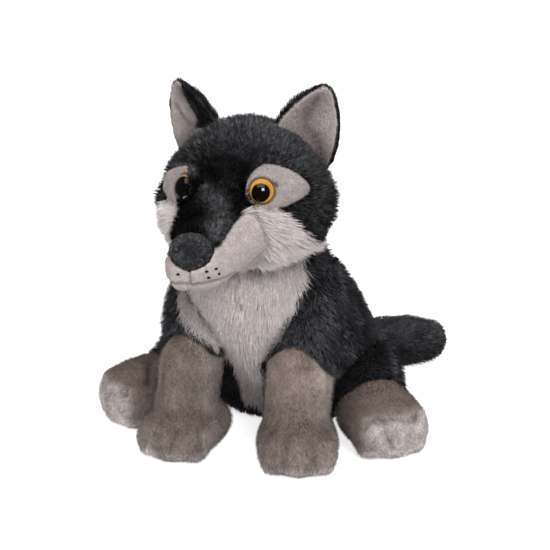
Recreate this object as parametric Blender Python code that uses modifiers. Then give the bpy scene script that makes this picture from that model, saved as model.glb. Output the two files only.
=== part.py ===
"""A seated plush wolf, sewn from fur fabric panels over stuffed forms.

Units are metres, +Z is up and the wolf faces -Y. The origin is on the floor, at the middle of the flat seat.
Left is the wolf's own left, +X, and side is 1 there and -1 on its right.
"""

import math

import bmesh
import bpy
from mathutils import Euler, Matrix, Vector

# Fits
GAP = 0.0003
PANEL = 0.003
SOLE = 0.0025

# Torso: a stuffed form that narrows and leans forward to the neck
TORSO_WIDTH = 0.134
TORSO_DEPTH = 0.122
TORSO_HEIGHT = 0.168
NECK_LEAN = 0.078

# Head, in its own frame: origin at its middle, nose along -Y
HEAD_WIDTH = 0.118
HEAD_HEIGHT = 0.098
JOWL = 0.28
SKULL_LENGTH = 0.092
MUZZLE_LENGTH = 0.054
MUZZLE_WIDTH = 0.043
MUZZLE_HEIGHT = 0.040
HEAD_PLACE = Vector((0.001, -0.091, 0.185))
HEAD_YAW = -2
HEAD_ROLL = -2.5

# Nose and eyes
NOSE_WIDTH = 0.0295
NOSE_SHIFT = -0.0015
NOSE_HEIGHT = 0.024
NOSE_DEPTH = 0.022
EYE_DIAMETER = 0.0165
EYE_DOME = 0.005
EYE_RIM = 0.0009
EYE_SINK = 0.0003
EYE_SHANK = 0.005
EYE_SHANK_LENGTH = 0.012
EYE_AZIMUTH = 33
EYE_HEIGHT = 0.009
WASHER_DIAMETER = 0.016
WASHER_THICKNESS = 0.0018

# Ears
EAR_HEIGHT = 0.036
EAR_BACK = 0.0035
EAR_LINING = 0.002
EAR_MARGIN = 0.0015
EAR_CUP = 0.012
EAR_TURN = 41

# Forelegs and their paws
FORELEG_SPREAD = 0.040
FORELEG_THICK = 0.048
FOREPAW_WIDTH = 0.057
FOREPAW_LENGTH = 0.074
FOREPAW_HEIGHT = 0.036
FOREPAW_REACH = 0.107
FOREPAW_SPLAY_LEFT = 20
FOREPAW_SPLAY_RIGHT = 4
FOREPAW_SHIFT = 0.0025
FORESOCK_HEIGHT = 0.083
SOCK_ARCH = 0.026

# Hind legs and their feet
HINDLEG_THICK = 0.064
HINDFOOT_WIDTH = 0.058
HINDFOOT_LENGTH = 0.074
HINDFOOT_HEIGHT = 0.047
HINDFOOT_SPREAD = 0.084
HINDFOOT_REACH = 0.056
HINDFOOT_SPLAY = 40

# Tail
TAIL_THICK = 0.042
TAIL_LENGTH = 0.1005
TAIL_AZIMUTH = 55

# Reach of the cutting tools past what they cut
CLEAR = 0.4

FORM_SIDES = 8
LIMB_SIDES = 6
TURNED_SIDES = 12

PARTS_NAME = "plush_wolf"
CUTTERS_NAME = "forms_and_cutters"

BLACK_FUR = ("black_fur", (0.020, 0.021, 0.024), 0.95)
GREY_FUR = ("grey_fur", (0.43, 0.38, 0.36), 0.95)
GREY_VELOUR = ("grey_velour", (0.45, 0.40, 0.375), 0.9)
TAUPE_MINKY = ("taupe_minky", (0.21, 0.165, 0.145), 0.85)
PALE_MINKY = ("pale_minky", (0.36, 0.31, 0.28), 0.85)
BLACK_VELOUR = ("black_velour", (0.012, 0.012, 0.013), 0.9)
AMBER_PLASTIC = ("amber_plastic", (0.72, 0.33, 0.02), 0.12)
WHITE_PLASTIC = ("white_plastic", (0.8, 0.8, 0.78), 0.45)


def start():
    """An empty scene with one collection for the pieces and one for the forms that shape them."""
    for old in list(bpy.data.objects):
        bpy.data.objects.remove(old)
    for name in (PARTS_NAME, CUTTERS_NAME):
        bpy.context.scene.collection.children.link(bpy.data.collections.new(name))


def material(finish):
    """The Principled material of one finish, made once."""
    name, colour, roughness = finish
    if name in bpy.data.materials:
        return bpy.data.materials[name]
    made = bpy.data.materials.new(name)
    made.use_nodes = True
    shader = made.node_tree.nodes["Principled BSDF"]
    shader.inputs["Base Color"].default_value = (*colour, 1)
    shader.inputs["Roughness"].default_value = roughness
    shader.inputs["Metallic"].default_value = 0
    return made


def hidden(name, mesh, parent=None):
    """A form or a cutter: it shapes the pieces and isn't one itself."""
    obj = bpy.data.objects.new(name, mesh)
    bpy.data.collections[CUTTERS_NAME].objects.link(obj)
    obj.hide_render = True
    obj.display_type = "WIRE"
    obj.parent = parent
    return obj


def mesh_of(name, bm):
    """The bmesh as a closed smooth mesh with its faces pointing out."""
    bmesh.ops.recalc_face_normals(bm, faces=bm.faces)
    mesh = bpy.data.meshes.new(name)
    bm.to_mesh(mesh)
    bm.free()
    mesh.shade_smooth()
    return mesh


def soften(obj, levels):
    """Rounds a coarse cage."""
    subdivide = obj.modifiers.new("soft", "SUBSURF")
    subdivide.levels = levels
    subdivide.render_levels = levels


def panelled(form):
    """A form that carries panels: its triangles are fixed, so that its grown copies stay parallel to it."""
    split = form.modifiers.new("split", "TRIANGULATE")
    split.quad_method = "FIXED"
    return form


def boolean(obj, tool, operation):
    """EXACT fails on pieces cut many times over, such as the thin sewn panels, so those take MANIFOLD."""
    step = obj.modifiers.new(tool.name, "BOOLEAN")
    step.operation = operation
    step.object = tool
    step.solver = "MANIFOLD" if obj.get("sewn") else "EXACT"


def cut(obj, *tools):
    for tool in tools:
        boolean(obj, tool, "DIFFERENCE")


def keep(obj, tool):
    boolean(obj, tool, "INTERSECT")


def twin(source, name):
    """A hidden copy of a form, with the form's modifiers."""
    obj = source.copy()
    obj.name = name
    bpy.data.collections[CUTTERS_NAME].objects.link(obj)
    return obj


def grown(form, distance):
    """A copy of a form that is larger all round, or smaller for a distance below zero."""
    name = f"{form.name}_{'out' if distance > 0 else 'in'}_{abs(distance) * 1e6:.0f}"
    if name in bpy.data.objects:
        return bpy.data.objects[name]
    obj = twin(form, name)
    swell = obj.modifiers.new("swell", "DISPLACE")
    swell.direction = "NORMAL"
    swell.mid_level = 0
    swell.strength = distance
    return obj


def piece(name, form, finish, sewn=False):
    """A named piece that starts as a copy of a form. A sewn piece holds panels or is one."""
    obj = form.copy()
    obj["sewn"] = sewn
    obj.data = form.data.copy()
    obj.name = name
    obj.hide_render = False
    obj.display_type = "TEXTURED"
    bpy.data.collections[PARTS_NAME].objects.link(obj)
    obj.data.materials.clear()
    obj.data.materials.append(material(finish))
    obj.data.shade_smooth()
    return obj


def ringed_form(name, rings, sides, levels=1, parent=None, jowl=0):
    """A soft form over rings of (centre, half-axis, other half-axis), closed at both ends.

    A jowl above zero makes each ring pear-shaped, wider on the low side of its second axis.
    """
    shrink = (2 + math.cos(2 * math.pi / sides)) / 3
    bm = bmesh.new()
    loops = []
    for centre, wide, deep in rings:
        turns = [2 * math.pi * (step + 0.5) / sides for step in range(sides)]
        points = [centre + (wide * math.cos(turn) * (1 - jowl * math.sin(turn)) + deep * math.sin(turn)) / shrink
                  for turn in turns]
        loops.append([bm.verts.new(point) for point in points])
    for low, high in zip(loops, loops[1:]):
        for step in range(sides):
            after = (step + 1) % sides
            bm.faces.new((low[step], low[after], high[after], high[step]))
    bm.faces.new(loops[0])
    bm.faces.new(loops[-1])
    obj = hidden(name, mesh_of(name, bm), parent)
    soften(obj, levels)
    return obj


def limb_form(name, stations, across, levels=1):
    """A soft form along a path of (centre, half width, half depth), its width along the given direction."""
    rings = []
    for number, (centre, half_width, half_depth) in enumerate(stations):
        before = stations[max(number - 1, 0)][0]
        after = stations[min(number + 1, len(stations) - 1)][0]
        along = (after - before).normalized()
        deep = along.cross(across).normalized()
        wide = deep.cross(along)
        rings.append((centre, wide * half_width, deep * half_depth))
    return ringed_form(name, rings, LIMB_SIDES, levels)


def ellipsoid(name, centre, half_sizes, yaw=0, parent=None, segments=8):
    """A sphere stretched to its half sizes and turned about Z."""
    bm = bmesh.new()
    bmesh.ops.create_uvsphere(bm, u_segments=segments, v_segments=segments // 2, radius=1)
    shape = Matrix.Translation(centre) @ Matrix.Rotation(yaw, 4, "Z") @ Matrix.Diagonal((*half_sizes, 1))
    bmesh.ops.transform(bm, matrix=shape, verts=bm.verts)
    return hidden(name, mesh_of(name, bm), parent)


def box(name, low, high):
    bm = bmesh.new()
    bmesh.ops.create_cube(bm, size=1)
    middle = (Vector(low) + Vector(high)) / 2
    size = Vector(high) - Vector(low)
    bmesh.ops.transform(bm, matrix=Matrix.Translation(middle) @ Matrix.Diagonal((*size, 1)), verts=bm.verts)
    return hidden(name, mesh_of(name, bm))


def smooth_outline(corners, steps=3):
    """Points along a smooth closed curve through the corners."""
    points = []
    count = len(corners)
    for number in range(count):
        a, b, c, d = (Vector(corners[(number + shift) % count]) for shift in (-1, 0, 1, 2))
        for step in range(steps):
            t = step / steps
            curved = (2 * b + (c - a) * t + (2 * a - 5 * b + 4 * c - d) * t**2
                      + (3 * b - a - 3 * c + d) * t**3) / 2
            points.append(curved)
    return points


def widened(points, distance):
    """A closed outline moved outwards by a distance."""
    count = len(points)
    area = sum(points[n].cross(points[(n + 1) % count]) for n in range(count))
    outward = 1 if area > 0 else -1
    moved = []
    for number in range(count):
        run = (points[(number + 1) % count] - points[number - 1]).normalized()
        moved.append(points[number] + Vector((run.y, -run.x)) * distance * outward)
    return moved


def prism(name, points, low, high, frame, parent=None):
    """A flat outline given thickness from low to high. The frame's columns say where its X, Y and Z go."""
    curve = bpy.data.curves.new(name, "CURVE")
    curve.dimensions = "2D"
    curve.fill_mode = "BOTH"
    curve.extrude = (high - low) / 2
    spline = curve.splines.new("POLY")
    spline.points.add(len(points) - 1)
    for place, point in zip(spline.points, points):
        place.co = (point.x, point.y, 0, 1)
    spline.use_cyclic_u = True
    drawn = bpy.data.objects.new(name + "_drawn", curve)
    bpy.data.collections[CUTTERS_NAME].objects.link(drawn)
    evaluated = drawn.evaluated_get(bpy.context.evaluated_depsgraph_get())
    bm = bmesh.new()
    bm.from_mesh(bpy.data.meshes.new_from_object(evaluated))
    bmesh.ops.remove_doubles(bm, verts=bm.verts, dist=0.00001)
    bmesh.ops.transform(bm, matrix=frame @ Matrix.Translation((0, 0, (low + high) / 2)), verts=bm.verts)
    bpy.data.objects.remove(drawn)
    return hidden(name, mesh_of(name, bm), parent)


def columns(x_axis, y_axis, z_axis, origin=(0, 0, 0)):
    """The matrix that takes local axes to the given ones."""
    made = Matrix((x_axis, y_axis, z_axis)).transposed().to_4x4()
    made.translation = Vector(origin)
    return made


# Outlines drawn in the side view have X forward from the head's middle and Y up, and run out along X
SIDE_VIEW = columns((0, -1, 0), (0, 0, 1), (1, 0, 0))
# Outlines drawn in the front view have X across and Y up, and run forward along -Y
FRONT_VIEW = columns((1, 0, 0), (0, 0, 1), (0, -1, 0))
# Outlines drawn in the top view have X across and Y forward, and run down along -Z
TOP_VIEW = columns((1, 0, 0), (0, -1, 0), (0, 0, -1))


def side_name(side):
    return "left" if side > 0 else "right"


def turned(profile, name, parent=None):
    """A profile of (radius, height) swept round Z."""
    bm = bmesh.new()
    verts = [bm.verts.new((radius, 0, height)) for radius, height in profile]
    for low, high in zip(verts, verts[1:]):
        bm.edges.new((low, high))
    if profile[0][0] > 0:
        bm.edges.new((verts[-1], verts[0]))
    mesh = bpy.data.meshes.new(name)
    bm.to_mesh(mesh)
    bm.free()
    obj = hidden(name, mesh, parent)
    sweep = obj.modifiers.new("sweep", "SCREW")
    sweep.steps = TURNED_SIDES
    sweep.render_steps = TURNED_SIDES
    sweep.use_merge_vertices = True
    sweep.merge_threshold = 0.00001
    return obj


def torso_form():
    """Rings as shares of the torso's height, width, depth and lean."""
    shares = (
        (-0.07, 0.64, 0.58, -0.10),
        (0.07, 0.94, 0.90, -0.08),
        (0.27, 1.04, 1.08, 0.10),
        (0.48, 1.01, 1.13, 0.38),
        (0.68, 0.85, 0.98, 0.72),
        (0.97, 0.58, 0.62, 0.97),
    )
    rings = []
    for height, wide, deep, lean in shares:
        centre = Vector((0, -NECK_LEAN * lean, TORSO_HEIGHT * height))
        rings.append((centre, Vector((TORSO_WIDTH / 2 * wide, 0, 0)), Vector((0, TORSO_DEPTH / 2 * deep, 0))))
    return panelled(ringed_form("torso_form", rings, FORM_SIDES))


def head_frame():
    pose = bpy.data.objects.new("head_pose", None)
    bpy.data.collections[CUTTERS_NAME].objects.link(pose)
    pose.location = HEAD_PLACE
    pose.rotation_euler = Euler((0, math.radians(HEAD_ROLL), math.radians(HEAD_YAW)))
    return pose


def head_form(pose):
    """The skull's rings are shares of the skull, and the muzzle's of the muzzle."""
    back = SKULL_LENGTH / 2
    skull = (
        (0.97, 0.46, 0.44, 0.05),
        (0.56, 0.86, 0.86, 0.04),
        (0.00, 1.00, 1.00, 0.00),
        (-0.45, 0.98, 0.96, -0.04),
        (-0.85, 0.80, 0.76, -0.14),
    )
    muzzle = (
        (0.05, 1.30, 1.30, -0.32),
        (0.35, 1.05, 1.12, -0.46),
        (0.68, 0.92, 1.00, -0.55),
        (0.90, 0.76, 0.84, -0.60),
        (1.00, 0.40, 0.46, -0.62),
    )
    half_width = HEAD_WIDTH / 2
    half_height = HEAD_HEIGHT / 2
    rings = []
    for place, wide, high, lift in skull:
        centre = Vector((0, back * place, half_height * lift))
        rings.append((centre, Vector((half_width * wide, 0, 0)), Vector((0, 0, half_height * high))))
    for place, wide, high, lift in muzzle:
        centre = Vector((0, -back - MUZZLE_LENGTH * place, half_height * lift))
        rings.append((centre, Vector((MUZZLE_WIDTH / 2 * wide, 0, 0)), Vector((0, 0, MUZZLE_HEIGHT / 2 * high))))
    return panelled(ringed_form("head_form", rings, FORM_SIDES, parent=pose, jowl=JOWL))


def surface_point(form, start, direction):
    """Where a line from inside a form leaves it, and which way the surface faces there."""
    evaluated = form.evaluated_get(bpy.context.evaluated_depsgraph_get())
    found, place, facing, _ = evaluated.ray_cast(start, direction)
    return (place, facing) if found else (start + direction * HEAD_WIDTH / 2, direction)


def muzzle_tip():
    """How far the muzzle reaches ahead of the head's middle."""
    return SKULL_LENGTH / 2 + MUZZLE_LENGTH


def nose_form(pose):
    centre = Vector((NOSE_SHIFT, -muzzle_tip() + NOSE_DEPTH * 0.28, -HEAD_HEIGHT * 0.205))
    half_sizes = (NOSE_WIDTH / 2, NOSE_DEPTH / 2, NOSE_HEIGHT / 2)
    return ellipsoid("nose_form", centre, half_sizes, parent=pose, segments=12)


def eye_profile(grow):
    """The eye from the top of its dome, round the rim and down its shank."""
    radius = EYE_DIAMETER / 2 + grow
    shank = EYE_SHANK / 2 + grow
    seat = -EYE_RIM - grow
    end = -EYE_SHANK_LENGTH - grow
    quarter = [math.radians(30 * step) for step in range(4)]
    dome = [(radius * math.sin(angle), (EYE_DOME + grow) * math.cos(angle)) for angle in quarter]
    dome[0] = (0, EYE_DOME + grow)
    return [*dome, (radius, seat), (shank, seat), (shank, end), (0, end)]


def washer_profile(hole):
    front = -PANEL - GAP
    back = front - WASHER_THICKNESS
    return [(hole, front), (WASHER_DIAMETER / 2, front), (WASHER_DIAMETER / 2, back), (hole, back)]


def washer_pocket_profile():
    front = -PANEL
    back = front - WASHER_THICKNESS - 2 * GAP
    radius = WASHER_DIAMETER / 2 + GAP
    return [(0, front), (radius, front), (radius, back), (0, back)]


def place_eye_parts(side, form, pose):
    """The eye, its washer and their pockets, on the head's surface."""
    azimuth = math.radians(EYE_AZIMUTH) * side
    outward = Vector((math.sin(azimuth), -math.cos(azimuth), 0))
    spot, facing = surface_point(form, Vector((0, 0, EYE_HEIGHT)), outward)
    turn = facing.to_track_quat("Z", "Y")
    word = side_name(side)
    made = {
        "eye": turned(eye_profile(0), f"eye_form_{word}", pose),
        "eye_pocket": turned(eye_profile(GAP), f"eye_pocket_{word}", pose),
        "washer": turned(washer_profile(EYE_SHANK / 2 + GAP), f"washer_form_{word}", pose),
        "washer_pocket": turned(washer_pocket_profile(), f"washer_pocket_{word}", pose),
    }
    for kind, obj in made.items():
        obj.rotation_mode = "QUATERNION"
        obj.rotation_quaternion = turn
        obj.location = spot - facing * (EYE_SINK if kind.startswith("eye") else 0)
    return made


def panel_cutters(pose, side):
    """The outlines of the face panels on one side, each with its pocket outline one gap wider.

    Corners are shares of the head's height: ahead of the skull's front and up, or across and up from the eye.
    """
    root = Vector((SKULL_LENGTH * 0.515, 0))
    word = side_name(side)
    muzzle = ((0.12, 0.08), (0.085, -0.05), (0.06, -0.22), (0.06, -0.38), (0.11, -0.70), (0.95, -0.70), (0.95, 0.08))
    cheek = (
        (0.08, 0.03), (-0.09, 0.05), (-0.20, -0.08), (-0.33, -0.20), (-0.60, -0.25), (-0.68, -0.42),
        (-0.46, -0.61), (0.09, -0.61),
    )
    brow = (
        (-0.098, -0.01), (-0.06, 0.10), (0.04, 0.16), (0.17, 0.13), (0.285, 0.06), (0.345, -0.03), (0.245, -0.08),
        (0.02, -0.12),
    )
    made = {}
    for kind, outline in (("muzzle", muzzle), ("cheek", cheek)):
        points = smooth_outline([root + Vector(corner) * HEAD_HEIGHT for corner in outline], 2)
        frame = Matrix.Diagonal((side, 1, 1, 1)) @ SIDE_VIEW
        made[kind] = prism(f"{kind}_cutter_{word}", points, GAP / 2, CLEAR, frame, pose)
        made[kind + "_pocket"] = prism(
            f"{kind}_pocket_{word}", widened(points, GAP), -GAP / 2, CLEAR, frame, pose)
    azimuth = math.radians(EYE_AZIMUTH) * side
    look = Matrix.Rotation(azimuth, 4, "Z") @ Matrix.Translation((0, 0, EYE_HEIGHT))
    frame = look @ Matrix.Diagonal((side, 1, 1, 1)) @ FRONT_VIEW
    points = smooth_outline([Vector(corner) * HEAD_HEIGHT for corner in brow], 2)
    made["brow"] = prism(f"brow_cutter_{word}", points, 0, CLEAR, frame, pose)
    made["brow_pocket"] = prism(f"brow_pocket_{word}", widened(points, GAP), -GAP, CLEAR, frame, pose)
    return made


def middle_cutters(pose):
    """The outlines of the snout's bridge, seen from above, and of the chin, seen from the side."""
    root = SKULL_LENGTH * 0.53
    tip = muzzle_tip() + MUZZLE_HEIGHT
    half = MUZZLE_WIDTH / 2
    brim = HEAD_HEIGHT * 0.25
    under = -HEAD_HEIGHT * 0.29
    reach = MUZZLE_LENGTH
    bridge = [Vector(point) for point in (
        (-half * 1.00, root), (-half * 0.95, root + reach * 0.4), (-half * 0.70, root + reach * 0.85),
        (-half * 0.60, tip), (half * 0.40, tip), (half * 0.46, root + reach * 0.85), (half * 0.62, root + reach * 0.4),
        (half * 0.80, root),
    )]
    mouth = -MUZZLE_HEIGHT * 0.30
    chin = [Vector(point) for point in (
        (root + 0.002, under + mouth * 0.8), (muzzle_tip() * 0.80, under + mouth),
        (tip, under + mouth * 0.8), (tip, under - CLEAR / 4), (root + 0.002, under - CLEAR / 4),
    )]
    return {
        "bridge": prism("bridge_cutter", bridge, -CLEAR, brim, TOP_VIEW, pose),
        "bridge_pocket": prism("bridge_pocket", widened(bridge, GAP), -CLEAR, brim + GAP, TOP_VIEW, pose),
        "chin": prism("chin_cutter", chin, -CLEAR, CLEAR, SIDE_VIEW, pose),
        "chin_pocket": prism("chin_pocket", widened(chin, GAP), -CLEAR, CLEAR, SIDE_VIEW, pose),
    }


def inlay(name, form, outline, finish, depth=PANEL):
    """A fabric panel: what the outline takes of a form's outer layer."""
    obj = piece(name, form, finish, sewn=True)
    keep(obj, outline)
    cut(obj, grown(form, -depth))
    return obj


def inlay_rooms(form, name, *outline_pockets, depth=PANEL):
    """The room that inlaid panels need in the stuffed form, as one cutter."""
    room = twin(outline_pockets[0], name)
    room["sewn"] = True
    for pocket in outline_pockets[1:]:
        boolean(room, pocket, "UNION")
    cut(room, grown(form, -depth - GAP))
    return room


def ear_sheet(name, side, pose, margin, lift):
    """A cupped leaf between the ear's inner and outer edges, each a smooth curve from base to tip."""
    half_width = HEAD_WIDTH / 2
    crown = HEAD_HEIGHT / 2
    inner_base = Vector((half_width * 0.22, 0.000, crown * 0.66))
    outer_base = Vector((half_width * 0.88, 0.014, crown * 0.02))
    tip = Vector((half_width * 0.94, 0.012, crown * 0.66 + EAR_HEIGHT))
    inner_bulge = Vector((half_width * 0.50, 0.000, crown * 0.90 + EAR_HEIGHT * 0.62))
    outer_bulge = Vector((half_width * 1.26, 0.016, crown * 0.56 + EAR_HEIGHT * 0.50))
    turn = math.radians(EAR_TURN)
    front = Vector((math.sin(turn), -math.cos(turn), 0.15)).normalized()
    rows, spans = 3, 3
    bm = bmesh.new()
    grid = []
    for row in range(rows + 1):
        t = row / rows * (1 - margin * 14)
        inner = inner_base * (1 - t)**2 + inner_bulge * 2 * t * (1 - t) + tip * t**2
        outer = outer_base * (1 - t)**2 + outer_bulge * 2 * t * (1 - t) + tip * t**2
        width = (outer - inner).length
        edge = (margin + 0.0012) / max(width, 0.004) if row == rows else margin / max(width, 0.004)
        line = []
        for column in range(spans + 1):
            share = column / spans
            across = min(edge, 0.35) + (1 - 2 * min(edge, 0.35)) * share
            dip = EAR_CUP * 4 * across * (1 - across) * min(width / 0.035, 1)
            point = inner.lerp(outer, across) - front * (dip - lift)
            if row == rows:
                point += (share - 0.5) * (outer_base - inner_base).normalized() * 0.004
            line.append(bm.verts.new((point.x * side, point.y, point.z)))
        grid.append(line)
    for low, high in zip(grid, grid[1:]):
        for column in range(spans):
            corners = (low[column], low[column + 1], high[column + 1], high[column])
            bm.faces.new(corners if side > 0 else corners[::-1])
    mesh = bpy.data.meshes.new(name)
    bm.to_mesh(mesh)
    bm.free()
    return hidden(name, mesh, pose)


def ear_form(name, side, pose, margin, lift, thickness, towards_front):
    obj = ear_sheet(name, side, pose, margin, lift)
    wall = obj.modifiers.new("wall", "SOLIDIFY")
    wall.thickness = thickness
    wall.offset = 1 if towards_front else -1
    wall.use_even_offset = True
    soften(obj, 1)
    return obj


def forward_at(splay, side):
    """The direction a paw points: forward, turned outwards by its splay."""
    turn = math.radians(splay) * side
    return Vector((math.sin(turn), -math.cos(turn), 0))


def forepaw_splay(side):
    return FOREPAW_SPLAY_LEFT if side > 0 else FOREPAW_SPLAY_RIGHT


def foreleg_forms(side):
    """The upper form from inside the shoulder to the ankle, and the paw with its toes."""
    word = side_name(side)
    thick = FORELEG_THICK / 2
    spread = FORELEG_SPREAD
    reach = FOREPAW_REACH
    shares = (
        (0.58, 0.49, 0.84, 0.60, 0.70),
        (0.88, 0.56, 0.73, 0.92, 1.00),
        (1.03, 0.68, 0.56, 1.06, 1.12),
        (1.01, 0.88, 0.38, 1.00, 1.02),
        (1.00, 0.94, 0.24, 0.93, 0.96),
        (1.00, 0.95, 0.11, 1.06, 1.06),
    )
    stations = []
    for out, ahead, height, wide, deep in shares:
        centre = Vector((side * spread * out, -reach * ahead, TORSO_HEIGHT * height))
        stations.append((centre, thick * wide, thick * deep))
    leg = limb_form(f"foreleg_form_{word}", stations, Vector((1, 0, 0)))
    heading = forward_at(forepaw_splay(side), side)
    middle = Vector((side * spread + FOREPAW_SHIFT, -reach, 0))
    paw = paw_form(f"forepaw_form_{word}", middle, heading, FOREPAW_LENGTH, FOREPAW_WIDTH, FOREPAW_HEIGHT, 3)
    return leg, paw


def paw_form(name, middle, heading, length, width, height, toes):
    """A rounded paw along its heading, with a row of toes joined on at the front."""
    across = Vector((0, 0, 1)).cross(heading)
    up = Vector((0, 0, 1))
    shares = (
        (-0.50, 0.54, 0.54, 0.48),
        (-0.34, 0.90, 0.92, 0.48),
        (0.00, 1.02, 1.04, 0.48),
        (0.32, 0.98, 0.94, 0.42),
        (0.49, 0.62, 0.66, 0.34),
    )
    rings = []
    for place, wide, high, lift in shares:
        centre = middle + heading * length * place + up * height * lift
        rings.append((centre, across * width / 2 * wide, up * height / 2 * high))
    form = ringed_form(name, rings, LIMB_SIDES)
    form["sewn"] = True
    toe_width = width / toes
    for number in range(toes):
        offset = number - (toes - 1) / 2
        forward = length * (0.34 - 0.05 * offset**2)
        centre = middle + heading * forward + across * toe_width * 0.84 * offset + up * height * 0.38
        toe = ellipsoid(
            f"{name}_toe_{number + 1}", centre, (toe_width * 0.62, length * 0.175, height * 0.42),
            math.atan2(heading.x, -heading.y))
        boolean(form, toe, "UNION")
    return form


def sock_cutter(name, middle, heading, low, crown, width, grow):
    """The shape under a sock's arched top edge, seen from the front of the paw."""
    across = heading.cross(Vector((0, 0, 1)))
    half = width / 2 + 0.003
    bend = [Vector((half * step / 4, low + (crown - low) * (1 - (step / 4)**2))) for step in range(-4, 5)]
    points = [Vector((-half * 2, low)), *bend, Vector((half * 2, low)), Vector((half * 2, -0.05)),
              Vector((-half * 2, -0.05))]
    frame = columns(across, (0, 0, 1), across.cross(Vector((0, 0, 1))), middle)
    return prism(name, widened(points, grow) if grow else points, -CLEAR / 2, CLEAR / 2, frame)


def hindleg_forms(side):
    """The thigh from inside the hip to the ankle, and the foot."""
    word = side_name(side)
    thick = HINDLEG_THICK / 2
    foot = Vector((side * HINDFOOT_SPREAD, -HINDFOOT_REACH, 0))
    hip = Vector((side * TORSO_WIDTH * 0.20, TORSO_DEPTH * 0.08, 0))
    stations = []
    for share, lift, scale in ((0.0, 1.25, 0.92), (0.35, 1.22, 1.04), (0.65, 0.98, 0.88), (0.86, 0.84, 0.74)):
        bulge = HINDLEG_THICK * 0.12 * math.sin(math.pi * share)
        centre = hip.lerp(foot, share) + Vector((side * bulge, 0, thick * lift))
        stations.append((centre, thick * scale, thick * scale * 0.98))
    leg = limb_form(f"hindleg_form_{word}", stations, Vector((0, 0, 1)))
    heading = forward_at(HINDFOOT_SPLAY, side)
    paw = paw_form(f"hindfoot_form_{word}", foot, heading, HINDFOOT_LENGTH, HINDFOOT_WIDTH, HINDFOOT_HEIGHT, 3)
    return leg, paw


def tail_form():
    """A plump tail from inside the back, along the floor to a rounded tip."""
    azimuth = math.radians(TAIL_AZIMUTH)
    run = Vector((math.cos(azimuth), math.sin(azimuth), 0))
    aside = Vector((0, 0, 1)).cross(run)
    root = Vector((TAIL_THICK * 0.1, TORSO_DEPTH * 0.42, 0))
    half = TAIL_THICK / 2
    shares = (
        (0.00, 0.00, 1.24, 0.74), (0.34, 0.03, 1.00, 0.95), (0.74, 0.01, 0.86, 1.04),
        (1.02, -0.05, 0.81, 0.86), (1.14, -0.09, 0.76, 0.46),
    )
    stations = []
    for along, bend, lift, scale in shares:
        centre = root + run * TAIL_LENGTH * along + aside * TAIL_LENGTH * bend + Vector((0, 0, half * lift))
        stations.append((centre, half * scale, half * scale))
    return limb_form("tail_form", stations, Vector((0, 0, 1)))


def build_body(floor, head):
    torso_shape = torso_form()
    bib_outline = smooth_outline((
        (-TORSO_WIDTH * 0.29, TORSO_HEIGHT * 1.10), (-TORSO_WIDTH * 0.31, TORSO_HEIGHT * 0.66),
        (-TORSO_WIDTH * 0.23, TORSO_HEIGHT * 0.52), (-TORSO_WIDTH * 0.09, TORSO_HEIGHT * 0.40),
        (-TORSO_WIDTH * 0.058, TORSO_HEIGHT * 0.06),
        (TORSO_WIDTH * 0.058, TORSO_HEIGHT * 0.06), (TORSO_WIDTH * 0.09, TORSO_HEIGHT * 0.40),
        (TORSO_WIDTH * 0.23, TORSO_HEIGHT * 0.52), (TORSO_WIDTH * 0.31, TORSO_HEIGHT * 0.66),
        (TORSO_WIDTH * 0.29, TORSO_HEIGHT * 1.10),
    ), 2)
    near = NECK_LEAN * 0.8
    bib_cutter = prism("bib_cutter", bib_outline, near, CLEAR, FRONT_VIEW)
    bib_pocket = prism("bib_pocket", widened(bib_outline, GAP), near - GAP, CLEAR, FRONT_VIEW)
    torso = piece("torso", torso_shape, BLACK_FUR, sewn=True)
    cut(torso, inlay_rooms(torso_shape, "bib_room", bib_pocket), grown(head, GAP), floor)
    bib = inlay("chest_bib", torso_shape, bib_cutter, GREY_FUR)
    cut(bib, grown(head, GAP), floor)
    return torso_shape


def build_head(pose, head):
    middle = middle_cutters(pose)
    nose = nose_form(pose)
    nose_pocket = grown(nose, GAP)
    piece("nose", nose, BLACK_VELOUR)
    skull = piece("head", head, BLACK_FUR, sewn=True)
    bridge = inlay("snout_bridge", head, middle["bridge"], BLACK_VELOUR)
    chin = inlay("chin", head, middle["chin"], GREY_VELOUR)
    cut(bridge, nose_pocket)
    cut(chin, nose_pocket)
    pockets = [middle["bridge_pocket"], middle["chin_pocket"]]
    eye_rooms = []
    for side in (1, -1):
        word = side_name(side)
        panels = panel_cutters(pose, side)
        eye = place_eye_parts(side, head, pose)
        muzzle = inlay(f"muzzle_{word}", head, panels["muzzle"], GREY_VELOUR)
        brow = inlay(f"brow_patch_{word}", head, panels["brow"], GREY_VELOUR)
        cheek = inlay(f"cheek_{word}", head, panels["cheek"], GREY_FUR)
        cut(muzzle, middle["bridge_pocket"], middle["chin_pocket"], nose_pocket)
        cut(brow, middle["bridge_pocket"], panels["muzzle_pocket"], eye["eye_pocket"], eye["washer_pocket"])
        cut(cheek, middle["bridge_pocket"], middle["chin_pocket"], panels["muzzle_pocket"], panels["brow_pocket"])
        pockets += [panels["muzzle_pocket"], panels["brow_pocket"], panels["cheek_pocket"]]
        eye_rooms += [eye["eye_pocket"], eye["washer_pocket"]]
        piece(f"eye_{word}", eye["eye"], AMBER_PLASTIC)
        piece(f"eye_washer_{word}", eye["washer"], WHITE_PLASTIC)
        build_ear(side, pose, head)
    cut(skull, inlay_rooms(head, "face_rooms", *pockets), nose_pocket, *eye_rooms)


def build_ear(side, pose, head):
    word = side_name(side)
    back = ear_form(f"ear_back_form_{word}", side, pose, 0, 0, EAR_BACK, False)
    lining = ear_form(f"ear_lining_form_{word}", side, pose, EAR_MARGIN, GAP, EAR_LINING, True)
    outer = piece(f"ear_back_{word}", back, BLACK_FUR)
    inner = piece(f"ear_lining_{word}", lining, GREY_VELOUR, sewn=True)
    cut(outer, grown(head, GAP))
    cut(inner, grown(head, GAP), grown(back, GAP))


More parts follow.
